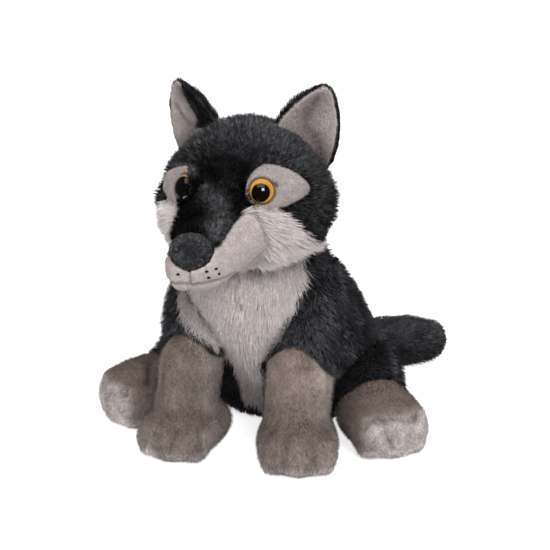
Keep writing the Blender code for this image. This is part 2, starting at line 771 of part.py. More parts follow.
def build_paw(kind, side, form, sock, sock_pocket, leg, floor, others):
    """One sock with its sole, and the black leg above it."""
    word = side_name(side)
    spread = CLEAR
    sole_slab = box(f"{kind}_sole_slab_{word}", (-spread, -spread, 0), (spread, spread, SOLE))
    sole_room = box(f"{kind}_sole_room_{word}", (-spread, -spread, -spread), (spread, spread, SOLE + GAP))
    whole = twin(form, f"{kind}_whole_{word}")
    boolean(whole, leg, "UNION")
    names = {"fore": ("foreleg", "forepaw"), "hind": ("hind_leg", "hind_foot")}[kind]
    upper = piece(f"{names[0]}_{word}", leg, BLACK_FUR, sewn=True)
    cut(upper, sock_pocket, *others, floor)
    paw = piece(f"{names[1]}_{word}", whole, TAUPE_MINKY, sewn=True)
    keep(paw, sock)
    cut(paw, *others, sole_room)
    sole = piece(f"{names[1]}_sole_{word}", form, PALE_MINKY, sewn=True)
    keep(sole, sole_slab)
    cut(sole, *others)


def build_legs(torso, head, floor):
    body = grown(torso, GAP)
    skull = grown(head, GAP)
    for side in (1, -1):
        word = side_name(side)
        leg, paw = foreleg_forms(side)
        heading = forward_at(forepaw_splay(side) * 0.4, side)
        middle = Vector((side * FORELEG_SPREAD, -FOREPAW_REACH, 0))
        low = FORESOCK_HEIGHT - SOCK_ARCH
        socks = [sock_cutter(f"fore_sock_{word}_{grow * 1e6:.0f}", middle, heading, low, FORESOCK_HEIGHT,
                             FORELEG_THICK, grow) for grow in (0, GAP)]
        build_paw("fore", side, paw, *socks, leg, floor, (body, skull))
        thigh, foot = hindleg_forms(side)
        heading = forward_at(HINDFOOT_SPLAY, side)
        middle = Vector((side * HINDFOOT_SPREAD, -HINDFOOT_REACH, 0))
        socks = [foot_cutter(f"hind_sock_{word}_{grow * 1e6:.0f}", middle, heading, grow) for grow in (0, GAP)]
        build_paw("hind", side, foot, *socks, thigh, floor, (body, grown(leg, GAP), grown(paw, GAP)))
        if side > 0:
            behind = grown(thigh, GAP)
    tail = piece("tail", tail_form(), BLACK_FUR)
    cut(tail, body, behind, floor)


def foot_cutter(name, middle, heading, grow):
    """Everything ahead of the line where the trouser of black fur ends, seen from the side of the foot."""
    back = HINDFOOT_LENGTH * 0.34
    lean = HINDFOOT_HEIGHT * 0.30
    points = [Vector(point) for point in (
        (-back, -0.05), (-back, 0.0), (-back + lean * 0.4, HINDFOOT_HEIGHT * 0.5), (-back + lean * 1.6, HINDFOOT_HEIGHT),
        (-back + lean * 3, HINDFOOT_HEIGHT * 1.5), (HINDFOOT_LENGTH, HINDFOOT_HEIGHT * 1.5), (HINDFOOT_LENGTH, -0.05),
    )]
    frame = columns(heading, (0, 0, 1), heading.cross(Vector((0, 0, 1))), middle)
    return prism(name, widened(points, grow) if grow else points, -HINDFOOT_WIDTH, HINDFOOT_WIDTH, frame)


def main():
    start()
    pose = head_frame()
    head = head_form(pose)
    floor = box("floor_cutter", (-CLEAR, -CLEAR, -CLEAR), (CLEAR, CLEAR, 0))
    torso = build_body(floor, head)
    build_head(pose, head)
    build_legs(torso, head, floor)
    for collection in (PARTS_NAME, CUTTERS_NAME):
        print(collection, len(bpy.data.collections[collection].objects))


main()
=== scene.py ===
# %% [markdown]
# # A seated plush wolf
#
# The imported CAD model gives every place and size: a stuffed torso, a head with sewn face panels, four legs,
# a tail, ears, safety eyes and a padded nose. This lesson dresses it as sewn pile fabric. Each form gets
# one soft skin, made from its solids, and long fur, short velour and the taupe plush of the paws grow on it
# as real fibres.

import math

import bmesh
import bpy
import numpy as np
from mathutils import Matrix, Vector
from mathutils.bvhtree import BVHTree
from mathutils.kdtree import KDTree


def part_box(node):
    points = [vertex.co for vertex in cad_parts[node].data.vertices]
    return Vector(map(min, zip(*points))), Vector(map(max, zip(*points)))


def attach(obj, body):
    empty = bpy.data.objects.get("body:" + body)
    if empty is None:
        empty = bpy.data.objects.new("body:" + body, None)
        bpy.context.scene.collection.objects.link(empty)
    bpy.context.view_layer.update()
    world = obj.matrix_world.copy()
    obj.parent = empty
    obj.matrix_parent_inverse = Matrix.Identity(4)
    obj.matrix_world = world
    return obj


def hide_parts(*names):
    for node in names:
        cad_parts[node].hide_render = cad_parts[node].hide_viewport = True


MM = 0.001
SIDES = ("left", "right")
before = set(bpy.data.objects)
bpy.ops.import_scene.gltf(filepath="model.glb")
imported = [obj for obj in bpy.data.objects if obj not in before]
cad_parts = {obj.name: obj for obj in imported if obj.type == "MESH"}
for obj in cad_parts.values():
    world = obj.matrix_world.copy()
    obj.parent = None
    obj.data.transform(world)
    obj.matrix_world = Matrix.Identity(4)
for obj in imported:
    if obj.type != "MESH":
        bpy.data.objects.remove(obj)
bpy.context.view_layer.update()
scene = bpy.context.scene


def add(name, data):
    """A new object in the scene."""
    obj = bpy.data.objects.new(name, data)
    scene.collection.objects.link(obj)
    return obj


def mesh_of(sketch, name):
    """A finished sketch as a mesh."""
    mesh = bpy.data.meshes.new(name)
    sketch.to_mesh(mesh)
    sketch.free()
    return mesh

# %% [markdown]
# ## Camera
#
# The photograph looks slightly down on the toy from its left front. A long lens from 1.6 m keeps the paws
# and the ears in their true proportions. The aim is a point inside the chest, and a small shift puts it
# where it stands in the picture, so that the camera itself stays level with the aim.

# %% Camera
PICTURE = 550
AIM = Vector((0, -0.080, 0.110))
AIM_PIXEL = (251.8, 290.0)
AZIMUTH = 20
ELEVATION = 17
DISTANCE = 1.6
VIEW_WIDTH = 0.374
SENSOR = 36


def direction(azimuth, elevation):
    """Away from the toy: degrees from its front towards its left, and degrees up."""
    turn, rise = math.radians(azimuth), math.radians(elevation)
    return Vector((math.sin(turn) * math.cos(rise), -math.cos(turn) * math.cos(rise), math.sin(rise)))


to_camera = direction(AZIMUTH, ELEVATION)
camera = add("camera", bpy.data.cameras.new("camera"))
camera.location = AIM + to_camera * DISTANCE
camera.rotation_euler = (-to_camera).to_track_quat("-Z", "Y").to_euler()
camera.data.sensor_width = SENSOR
camera.data.lens = SENSOR * DISTANCE / VIEW_WIDTH
camera.data.shift_x = (PICTURE / 2 - AIM_PIXEL[0]) / PICTURE
camera.data.shift_y = (AIM_PIXEL[1] - PICTURE / 2) / PICTURE
scene.camera = camera
print("lens:", round(camera.data.lens, 1), "mm")

# %% [markdown]
# ## Drawing on the photograph
#
# Seams, folds and the edges of the fabrics follow no rule, so they are drawn over the photograph, as lines
# and outlines of a few named points in its pixels. A ray from the camera through the pixels of a line finds
# where it lies on a skin. An outline goes the other way: each point of the skin is found in the picture,
# and how far it lies inside the outline tells which fabric it is.

# %% Lines and outlines
def sight(x, y):
    """Where the camera stands, and the direction in which it sees a pixel of the photograph."""
    wide = (x - AIM_PIXEL[0]) / PICTURE * VIEW_WIDTH / DISTANCE
    high = (AIM_PIXEL[1] - y) / PICTURE * VIEW_WIDTH / DISTANCE
    turn = camera.rotation_euler.to_matrix()
    return camera.location.copy(), (turn @ Vector((wide, high, -1))).normalized()


def drawn(surface, *pixels):
    """The places on a surface that lie under a line through pixels of the photograph."""
    places = []
    for (x0, y0), (x1, y1) in zip(pixels, pixels[1:]):
        for t in np.linspace(0, 1, max(2, int(math.dist((x0, y0), (x1, y1))))):
            spot = surface.ray_cast(*sight(x0 + (x1 - x0) * t, y0 + (y1 - y0) * t))[0]
            if spot is not None:
                places.append(spot)
    return np.array(places)


def along(places, line, width):
    """How close each place is to a drawn line: 1 on it, falling off over the width. No line gives 0."""
    nowhere = np.full(len(places), 1.0)
    gap = np.min([nowhere, *(np.linalg.norm(places - spot, axis=1) for spot in line)], axis=0)
    return np.exp(-(gap / width)**2)


def marked(places, surface, lines, width):
    """How close each place is to the nearest of several lines drawn on a surface."""
    near_line = [along(places, drawn(surface, *line), width) for line in lines]
    return np.max([np.zeros(len(places)), *near_line], axis=0)


def pixels_of(places):
    """Where the photograph shows each place."""
    seen = (places - np.array(camera.location)) @ np.array(camera.rotation_euler.to_matrix())
    scale = PICTURE * DISTANCE / VIEW_WIDTH / -seen[:, 2]
    return np.stack([AIM_PIXEL[0] + seen[:, 0] * scale, AIM_PIXEL[1] - seen[:, 1] * scale], 1)


def inside(places, outline):
    """How far inside an outline drawn on the photograph each place lies, below zero outside it."""
    spots = pixels_of(places)
    ends = np.array(outline, dtype=float)
    gap = np.full(len(spots), np.inf)
    within = np.zeros(len(spots), dtype=bool)
    for start, end in zip(ends, np.roll(ends, -1, axis=0)):
        run = end - start
        t = np.clip(((spots - start) @ run) / (run @ run), 0, 1)
        gap = np.minimum(gap, np.linalg.norm(spots - start - t[:, None] * run, axis=1))
        crossing = (spots[:, 1] > min(start[1], end[1])) & (spots[:, 1] <= max(start[1], end[1]))
        if run[1]:
            within ^= crossing & (spots[:, 0] < start[0] + (spots[:, 1] - start[1]) * run[0] / run[1])
    return np.where(within, gap, -gap) * VIEW_WIDTH / PICTURE

# %% [markdown]
# ## Studio
#
# The toy stands on a white sweep under large soft lamps. The floor and the world are white only to the
# camera, so the lamps can stay at a plain level where a colour renders as it is written, and the floor
# keeps a soft shadow. Mirror images see a much darker studio, without the floor and the fill lamp, so that
# black fur stays black.

# %% Node helpers
def feed(tree, value, into):
    """Joins an output to an input, or sets the input to a value."""
    if isinstance(value, bpy.types.NodeSocket):
        tree.links.new(value, into)
    else:
        into.default_value = value


def filled(tree, node, **inputs):
    """A node with its inputs fed by name."""
    for name, value in inputs.items():
        feed(tree, value, node.inputs[name.replace("_", " ")])
    return node


def node_in(tree, kind, **inputs):
    """A new node in a tree, with its inputs fed by name."""
    return filled(tree, tree.nodes.new(kind), **inputs)


def maths(tree, operation, first, second):
    """The result of a sum on two outputs or values."""
    made = tree.nodes.new("ShaderNodeMath")
    made.operation = operation
    feed(tree, first, made.inputs[0])
    feed(tree, second, made.inputs[1])
    return made.outputs[0]


def ranged(tree, source, low, high, start=0, end=1):
    """A value carried from start..end to low..high."""
    return node_in(tree, "ShaderNodeMapRange", Value=source, From_Min=start, From_Max=end, To_Min=low,
                   To_Max=high).outputs["Result"]


def new_finish(name, **inputs):
    """A new material, its node tree and its shader, with the shader's inputs fed by name."""
    made = bpy.data.materials.new(name)
    made.use_nodes = True
    return made, made.node_tree, filled(made.node_tree, made.node_tree.nodes["Principled BSDF"], **inputs)

# %% Floor
FLOOR_SIZE = 6
FLOOR_GLOW = 0.8
scene.view_settings.view_transform = "Standard"
floor_sketch = bmesh.new()
bmesh.ops.create_grid(floor_sketch, x_segments=1, y_segments=1, size=FLOOR_SIZE)
floor = add("floor", mesh_of(floor_sketch, "floor"))
floor_finish, floor_tree, floor_shader = new_finish(
    "white_sweep", Base_Color=(0.82, 0.82, 0.82, 1), Roughness=0.8, Specular_IOR_Level=0.0)
rays = floor_tree.nodes.new("ShaderNodeLightPath").outputs
seen = maths(floor_tree, "MAXIMUM", rays["Is Camera Ray"], rays["Is Transmission Ray"])
white = node_in(floor_tree, "ShaderNodeEmission", Strength=maths(floor_tree, "MULTIPLY", seen, FLOOR_GLOW))
both = floor_tree.nodes.new("ShaderNodeAddShader")
feed(floor_tree, floor_shader.outputs[0], both.inputs[0])
feed(floor_tree, white.outputs[0], both.inputs[1])
feed(floor_tree, both.outputs[0], floor_tree.nodes["Material Output"].inputs["Surface"])
floor.data.materials.append(floor_finish)
floor.visible_glossy = False
print("floor:", 2 * FLOOR_SIZE, "m wide")

# %% World and lamps
WORLD_LIGHT = 0.42
WORLD_IN_MIRRORS = 0.08
world = bpy.data.worlds.new("studio")
scene.world = world
world.use_nodes = True
rays = world.node_tree.nodes.new("ShaderNodeLightPath").outputs
lit = ranged(world.node_tree, rays["Is Glossy Ray"], WORLD_LIGHT, WORLD_IN_MIRRORS)
filled(world.node_tree, world.node_tree.nodes["Background"], Color=(1, 1, 1, 1),
       Strength=ranged(world.node_tree, rays["Is Camera Ray"], lit, 1.0))


def lamp(name, azimuth, elevation, distance, size, watts):
    """A square soft lamp that faces the toy."""
    obj = add(name, bpy.data.lights.new(name, "AREA"))
    obj.data.size = size
    obj.data.energy = watts
    away = direction(azimuth, elevation)
    obj.location = AIM + away * distance
    obj.rotation_euler = away.to_track_quat("Z", "Y").to_euler()
    return obj


lamp("key", azimuth=36, elevation=36, distance=1.5, size=0.5, watts=14)
fill = lamp("fill", azimuth=-35, elevation=25, distance=1.6, size=1.4, watts=7)
fill.visible_glossy = False
lamp("top", azimuth=10, elevation=80, distance=1.3, size=1.3, watts=10)
print("lamps:", len(bpy.data.lights))

# %% [markdown]
# ## From solids to a soft skin
#
# A CAD node is loose triangles, so a copy is merged before use. The solids of one form, such as a head and
# its panels, are swollen a little so that their gaps close, remeshed to one closed skin, and smoothed.
# Smoothing in pairs of steps, one in and one out, takes away facets and keeps the volume.

# %% Helpers for meshes
def joined(nodes, swell=0):
    """Copies of CAD nodes in one sketch, each merged to a closed mesh and swollen by a distance."""
    sketch = bmesh.new()
    for node in nodes:
        part = bmesh.new()
        part.from_mesh(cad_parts[node].data)
        bmesh.ops.remove_doubles(part, verts=part.verts, dist=0.001 * MM)
        part.normal_update()
        for vert in part.verts:
            vert.co += vert.normal * swell
        mesh = mesh_of(part, node)
        sketch.from_mesh(mesh)
        bpy.data.meshes.remove(mesh)
    return sketch


def point_rows(mesh, field):
    flat = np.empty(len(mesh.vertices) * 3)
    mesh.vertices.foreach_get(field, flat)
    return flat.reshape(-1, 3)


def places_of(mesh):
    """A mesh's points as rows."""
    return point_rows(mesh, "co")


def normals_of(mesh):
    """The way that the surface faces at each point."""
    return point_rows(mesh, "normal")


def move_to(mesh, places):
    mesh.vertices.foreach_set("co", places.ravel())
    mesh.update()


def settle(obj):
    """Applies an object's modifiers to its mesh."""
    evaluated = obj.evaluated_get(bpy.context.evaluated_depsgraph_get())
    mesh = bpy.data.meshes.new_from_object(evaluated)
    obj.modifiers.clear()
    obj.data = mesh
    return obj


# %% Smoothing
STEP_IN = 0.5
STEP_OUT = -0.52


def averaged(mesh, values, rounds, pairs=False):
    """Values of the points, each taken towards its neighbours' mean. Pairs of steps keep a shape's volume."""
    ends = np.empty(len(mesh.edges) * 2, dtype=np.int64)
    mesh.edges.foreach_get("vertices", ends)
    ends = ends.reshape(-1, 2)
    count = len(mesh.vertices)
    near = np.bincount(ends.ravel(), minlength=count)
    for step in ((STEP_IN, STEP_OUT) if pairs else (STEP_IN,)) * rounds:
        mean = np.stack([np.bincount(ends[:, 0], column[ends[:, 1]], count)
                         + np.bincount(ends[:, 1], column[ends[:, 0]], count) for column in values.T], 1)
        values = values + step * (mean / near[:, None] - values)
    return values


def largest_island(mesh):
    """Keeps the biggest connected shell and drops what is closed inside it."""
    sketch = bmesh.new()
    sketch.from_mesh(mesh)
    left = set(sketch.verts)
    islands = []
    while left:
        seed = left.pop()
        island, front = [seed], [seed]
        while front:
            grown = []
            for vert in front:
                for link in vert.link_edges:
                    other = link.other_vert(vert)
                    if other in left:
                        left.remove(other)
                        grown.append(other)
            island += grown
            front = grown
        islands.append(island)
    islands.sort(key=len)
    for island in islands[:-1]:
        bmesh.ops.delete(sketch, geom=island, context="VERTS")
    sketch.to_mesh(mesh)
    sketch.free()


# %% Skins
SWELL = 0.4 * MM


def skin(name, nodes, voxel, rounds):
    """One closed soft skin round several CAD nodes, smoothed for a number of rounds."""
    obj = add(name, mesh_of(joined(nodes, SWELL), name))
    voxels = obj.modifiers.new("voxels", "REMESH")
    voxels.mode = "VOXEL"
    voxels.voxel_size = voxel
    settle(obj)
    largest_island(obj.data)
    move_to(obj.data, averaged(obj.data, places_of(obj.data), rounds, pairs=True))
    obj.data.shade_smooth()
    print(name, "skin:", len(obj.data.polygons), "faces")
    return obj

# %% [markdown]
# ## Stuffing
#
# Stuffing pushes the fabric out evenly, so each body form is blown up a little as cloth: a coarse copy, a
# pressure from inside, no gravity, twenty steps. How far a point may move is capped, so that the toy keeps
# its size. One subdivision then gives the fabric its smooth run.

# %% Stuffing by cloth pressure
STUFFING_PRESSURE = 4
STUFFING_STEPS = 20


def stuffed(obj, cap):
    """Swells a form with stuffing, no point by more than the cap, and smooths it."""
    before = places_of(obj.data)
    cloth = obj.modifiers.new("stuffing", "CLOTH")
    cloth.settings.quality = 5
    cloth.settings.mass = 0.2
    cloth.settings.use_pressure = True
    cloth.settings.uniform_pressure_force = STUFFING_PRESSURE
    cloth.settings.effector_weights.gravity = 0
    cloth.collision_settings.use_collision = False
    for moment in range(1, STUFFING_STEPS + 1):
        scene.frame_set(moment)
    after = places_of(settle(obj).data)
    scene.frame_set(1)
    move = after - before
    far = np.linalg.norm(move, axis=1, keepdims=True)
    move_to(obj.data, before + move * np.minimum(1, cap / np.maximum(far, 1e-9)))
    print(obj.name, "moved up to", round(float(far.max()) / MM, 1), "mm")
    smooth = obj.modifiers.new("smooth", "SUBSURF")
    smooth.levels = 1
    smooth.render_levels = 1
    settle(obj)
    obj.data.shade_smooth()
    return obj

# %% [markdown]
# ## Regions
#
# One skin carries several fabrics. Which fabric a point is of follows from the CAD node nearest to it, and
# how much nearer that node is than the next one tells how far the point is from the seam.

# %% Distances to CAD nodes
REACH = 30 * MM


def surface_of(obj):
    """A search tree over an object's surface."""
    return BVHTree.FromObject(obj, bpy.context.evaluated_depsgraph_get())


def tree_of(nodes):
    """A search tree over the surfaces of some CAD nodes."""
    sketch = joined(nodes)
    tree = BVHTree.FromBMesh(sketch)
    sketch.free()
    return tree


def distance_to(places, nodes):
    """How far each point is from the nearest surface of the nodes."""
    tree = tree_of(nodes)
    return np.array([tree.find_nearest(place)[3] for place in places])


def room_from(places, nodes, thick):
    """How far each point is outside the nodes, below zero inside them. Thin nodes have no deep inside."""
    tree = tree_of(nodes)
    room = np.full(len(places), REACH)
    for number, place in enumerate(places):
        spot, facing, _, far = tree.find_nearest(place, REACH)
        if spot is not None:
            covered = far < thick and (Vector(place) - spot).dot(facing) <= 0
            room[number] = -far if covered else far
    return room


# %% Values on points
def smoothstep(values, low, high):
    """0 below the low value, 1 above the high one, and a soft run between them."""
    share = np.clip((values - low) / (high - low), 0, 1)
    return share * share * (3 - 2 * share)


def edge(gap, blur):
    """1 inside a fabric's edge and 0 outside it, from how far inside a point lies."""
    return smoothstep(gap, -blur, blur)


def store(mesh, name, values):
    """Keeps one value, vector or colour for each point."""
    kind, field = {1: ("FLOAT", "value"), 3: ("FLOAT_VECTOR", "vector"), 4: ("FLOAT_COLOR", "color")}[
        1 if values.ndim == 1 else values.shape[1]]
    if name in mesh.attributes:
        mesh.attributes.remove(mesh.attributes[name])
    layer = mesh.attributes.new(name, kind, "POINT")
    layer.data.foreach_set(field, np.ascontiguousarray(values, dtype=np.float32).ravel())


def tangents(mesh, directions):
    """The directions, laid into the surface."""
    facing = normals_of(mesh)
    flat = directions - facing * (directions * facing).sum(1, keepdims=True)
    return flat / np.maximum(np.linalg.norm(flat, axis=1, keepdims=True), 1e-9)


def even(colour, mesh):
    """One colour for every point of a mesh."""
    return np.tile((*colour, 1), (len(mesh.vertices), 1))


def blended(shares, colours):
    """A colour for each point from the shares of several fabrics."""
    total = np.maximum(sum(shares), 1e-6)
    mixed = sum(share[:, None] * np.array(colour) for share, colour in zip(shares, colours)) / total[:, None]
    return np.hstack([mixed, np.ones((len(mixed), 1))])


def shade(colour, share):
    """A colour made lighter or darker."""
    return tuple(share * part for part in colour)

# %% [markdown]
# ## Finishes
#
# Three kinds of finish cover the toy. A skin reads its fabric's colour from the points, painted light and
# shade included, with a mottling at the scale of the nap and a fine grain for the roots of the pile. A fibre
# reads its colour from the points in the same way; it is darker at its root than at its tip, and no two have
# quite the same shade. Eyes are glossy plastic.

# %% Colours
BLACK = (0.0058, 0.0059, 0.0066)
GREY = (0.68, 0.62, 0.605)
VELOUR = (0.47, 0.415, 0.40)
# The brow's velour is the muzzle's velour, darkened as painted shade.
SHADED_BROW_VELOUR = shade(VELOUR, 0.73)
EAR_GREY = (0.42, 0.37, 0.357)
# Painted shade in the hollow of an ear's lining.
EAR_HOLLOW_SHADE = (0.19, 0.150, 0.148)
TAUPE = (0.165, 0.126, 0.108)
# The paler sole, and painted sheen on the socks.
PALE_SOLE_AND_SHEEN = (0.50, 0.45, 0.435)
# The black pile darkened as painted shade: on the forehead, and on the bridge away from its paler streak.
SHADED_BLACK = (0.0016, 0.0015, 0.0016)
# A painted highlight on the black pile of the crown.
LIT_CROWN_BLACK = (0.0150, 0.0157, 0.0182)
TEMPLE_BLACK = (0.0075, 0.0077, 0.0082)
BODY_BLACK = (0.0140, 0.0144, 0.0168)
# The forelegs' black fur, lightened as painted sheen.
SHOULDER_SHEEN_BLACK = (0.0380, 0.0388, 0.0440)
# A painted highlight along seams in that fur.
SEAM_HIGHLIGHT_BLACK = shade(SHOULDER_SHEEN_BLACK, 2.5)
# The bridge's paler streak: partly grey flecks, partly painted sheen.
BRIDGE_FLECKS_AND_SHEEN = (0.0160, 0.0163, 0.0178)
NAP_BLACK = (0.0170, 0.0168, 0.0185)


# %% Finish helpers
def attribute(tree, name):
    """A value kept on the points, as a colour and as a number."""
    reader = tree.nodes.new("ShaderNodeAttribute")
    reader.attribute_name = name
    return reader.outputs["Color"], reader.outputs["Fac"]


def noise(tree, scale, detail, rough=0.5):
    """Noise on the object's own coordinates, its scale in features a metre."""
    spot = tree.nodes.new("ShaderNodeTexCoord").outputs["Object"]
    made = node_in(tree, "ShaderNodeTexNoise", Vector=spot, Scale=scale, Detail=detail, Roughness=rough)
    return made.outputs["Fac"]


def wavering(tree, source, share, start, end):
    """A value that wavers round 1 by a share, as its source runs from start to end."""
    return ranged(tree, source, 1 - share, 1 + share, start, end)


def shaded(tree, colour, factor):
    """A colour times a value."""
    made = tree.nodes.new("ShaderNodeVectorMath")
    made.operation = "SCALE"
    feed(tree, colour, made.inputs[0])
    return filled(tree, made, Scale=factor).outputs["Vector"]


def product(tree, first, second):
    return maths(tree, "MULTIPLY", first, second)


def fabric_finish(name, mottle, grain, bump, sheen):
    """Pile fabric whose colour is on the points: mottled by the lie of the nap, with a fine grain."""
    made, tree, shader = new_finish(name, Roughness=0.9, Specular_IOR_Level=0.2, Sheen_Weight=sheen,
                                    Sheen_Roughness=0.5)
    patches = noise(tree, 95, 3, 0.6)
    fine = noise(tree, 1500, 2, 0.7)
    light = product(tree, wavering(tree, patches, mottle, 0.32, 0.68), wavering(tree, fine, grain, 0.3, 0.7))
    relief = node_in(tree, "ShaderNodeBump", Strength=bump, Distance=0.4 * MM, Height=fine)
    tint = shaded(tree, attribute(tree, "tint")[0], light)
    filled(tree, shader, Base_Color=tint, Normal=relief.outputs["Normal"])
    return made


def fibre_finish(name, root, tip, spread, mottle, rough, shine, fleck=0.1, patch=75):
    """Fibres in the colour of their points, painted light and shade included, each in its own shade, with
    patches where the nap lies another way and with small flecks.

    Root and tip are the colour's share at the two ends of a fibre. A deep black shines less than the others.
    """
    made, tree, shader = new_finish(name, Roughness=rough)
    dye_and_light, strength = attribute(tree, "dye_and_light")
    patches = wavering(tree, noise(tree, patch, 3, 0.6), mottle, 0.35, 0.65)
    length = ranged(tree, attribute(tree, "tip")[1], root, tip)
    own = wavering(tree, attribute(tree, "shade")[1], spread, 0.2, 0.8)
    flecks = wavering(tree, noise(tree, 380, 2, 0.6), fleck, 0.38, 0.62)
    light = product(tree, product(tree, length, own), product(tree, patches, flecks))
    gloss = product(tree, ranged(tree, strength, 0.05 * shine, shine, 0.002, 0.013), flecks)
    filled(tree, shader, Base_Color=shaded(tree, dye_and_light, light), Specular_IOR_Level=gloss)
    return made


# %% The toy's finishes
plush_skin = fabric_finish("plush_skin", mottle=0.16, grain=0.22, bump=0.5, sheen=0.02)
paw_skin = fabric_finish("paw_skin", mottle=0.20, grain=0.30, bump=0.6, sheen=0.06)
velour_skin = fabric_finish("velour_skin", mottle=0.07, grain=0.16, bump=0.5, sheen=0.04)
nose_skin = fabric_finish("nose_skin", mottle=0.20, grain=0.45, bump=0.8, sheen=0.03)
black_fibres = fibre_finish("black_fibres", root=0.5, tip=2.4, spread=0.85, mottle=0.45, rough=0.45,
                            shine=0.45, fleck=0.45)
body_fibres = fibre_finish("body_fibres", root=0.5, tip=2.4, spread=0.7, mottle=0.35, rough=0.45, shine=0.42,
                           fleck=0.22)
grey_fibres = fibre_finish("grey_fibres", root=0.5, tip=1.08, spread=0.16, mottle=0.06, rough=0.6, shine=0.25)
taupe_fibres = fibre_finish("taupe_fibres", root=0.8, tip=1.25, spread=0.22, mottle=0.45, rough=0.6,
                            shine=0.3, fleck=0.30, patch=55)
nap_fibres = fibre_finish("nap_fibres", root=0.5, tip=4.0, spread=0.98, mottle=0.45, rough=0.5, shine=0.35,
                          fleck=0.6)
velour_fibres = fibre_finish("velour_fibres", root=0.8, tip=1.05, spread=0.12, mottle=0.06, rough=0.7,
                             shine=0.2)
print("finishes:", len(bpy.data.materials))

# %% [markdown]
# ## How pile grows
#
# Fur repeats one fibre many thousand times, so Geometry Nodes plant it: points are scattered over a skin
# where the fabric is open to the air, and each takes a bent, tapering blade of five points, turned along
# the comb of the pile. The tree reads the cover, the pile's length and the comb from the skin, and ends as
# plain triangles. Neighbours lean the same way in locks, which a coarse noise makes, and each fibre strays
# a little from its lock.

# %% The fibre
BLADE_WAIST = 0.76
BLADE_BEND = (0.5, 0.68)


def blade(name, bend, lift):
    """A unit fibre: wide at the root, bent over, with its height along it kept as an attribute."""
    sketch = bmesh.new()
    ahead, up = bend * BLADE_BEND[0], lift * BLADE_BEND[1]
    low = [sketch.verts.new((x, 0, 0)) for x in (-0.5, 0.5)]
    mid = [sketch.verts.new((x * BLADE_WAIST, ahead, up)) for x in (-0.5, 0.5)]
    top = sketch.verts.new((0, bend, lift))
    sketch.faces.new((low[0], low[1], mid[1], mid[0]))
    sketch.faces.new((mid[0], mid[1], top))
    mesh = mesh_of(sketch, name)
    store(mesh, "tip", np.array([0, 0, 0.55, 0.55, 1.0]))
    obj = add(name, mesh)
    obj.hide_render = True
    return obj


LYING = blade("lying_fibre", bend=0.90, lift=0.42)
STANDING = blade("standing_fibre", bend=0.70, lift=0.66)


# %% Helpers for the tree
def named(tree, name, kind):
    """A value kept on the skin's points."""
    made = node_in(tree, "GeometryNodeInputNamedAttribute", Name=name)
    made.data_type = kind
    return made.outputs["Attribute"]


def chance(tree, low, high, seed):
    """A random value for each fibre."""
    made = node_in(tree, "FunctionNodeRandomValue", Seed=seed)
    made.data_type = "FLOAT"
    for item, value in zip([item for item in made.inputs if item.type == "VALUE"], (low, high)):
        feed(tree, value, item)
    return next(item for item in made.outputs if item.type == "VALUE" and item.enabled)


def pile_inputs(tree):
    """The sizes and the seed that a piece of pile sets."""
    sockets = (("Geometry", "Geometry", None), ("Fibre", "Object", None), ("Finish", "Material", None),
               ("Fibres per m2", "Float", 1e6), ("Fibre Width", "Float", 0.4 * MM), ("Turn", "Float", 0.3),
               ("Tilt", "Float", 0.2), ("Lock Turn", "Float", 0.4), ("Lock Size", "Float", 90.0),
               ("Seed", "Int", 1))
    for name, kind, value in sockets:
        made = tree.interface.new_socket(name, in_out="INPUT", socket_type="NodeSocket" + kind)
        if value is not None:
            made.default_value = value
    tree.interface.new_socket("Geometry", in_out="OUTPUT", socket_type="NodeSocketGeometry")
    return tree.nodes.new("NodeGroupInput").outputs


def combed_along(tree, normal):
    """The turn of a fibre that stands on the skin and points along the comb."""
    upright = node_in(tree, "FunctionNodeAlignRotationToVector", Vector=normal)
    upright.axis = "Z"
    combed = node_in(tree, "FunctionNodeAlignRotationToVector", Rotation=upright.outputs["Rotation"],
                     Vector=named(tree, "comb", "FLOAT_VECTOR"))
    combed.axis = "Y"
    combed.pivot_axis = "Z"
    return combed.outputs["Rotation"]


def strayed(tree, turn, swing, given, seeds):
    """A fibre's turn after its lock's swing and its own stray."""
    stray = chance(tree, product(tree, given["Turn"], -1.0), given["Turn"], seeds[1])
    tilt = chance(tree, product(tree, given["Tilt"], -1.0), given["Tilt"], seeds[2])
    rise = maths(tree, "ADD", product(tree, swing, 0.5), tilt)
    lean = node_in(tree, "ShaderNodeCombineXYZ", X=rise, Z=maths(tree, "ADD", swing, stray))
    to_turn = tree.nodes.new("FunctionNodeEulerToRotation")
    feed(tree, lean.outputs[0], to_turn.inputs[0])
    turned = node_in(tree, "FunctionNodeRotateRotation", Rotation=turn, Rotate_By=to_turn.outputs[0])
    turned.rotation_space = "LOCAL"
    return turned.outputs[0]


# %% The tree
LOCK_UNEVEN = 0.7
OWN_LENGTH = (0.7, 1.12)
OWN_SHADE = 0.6


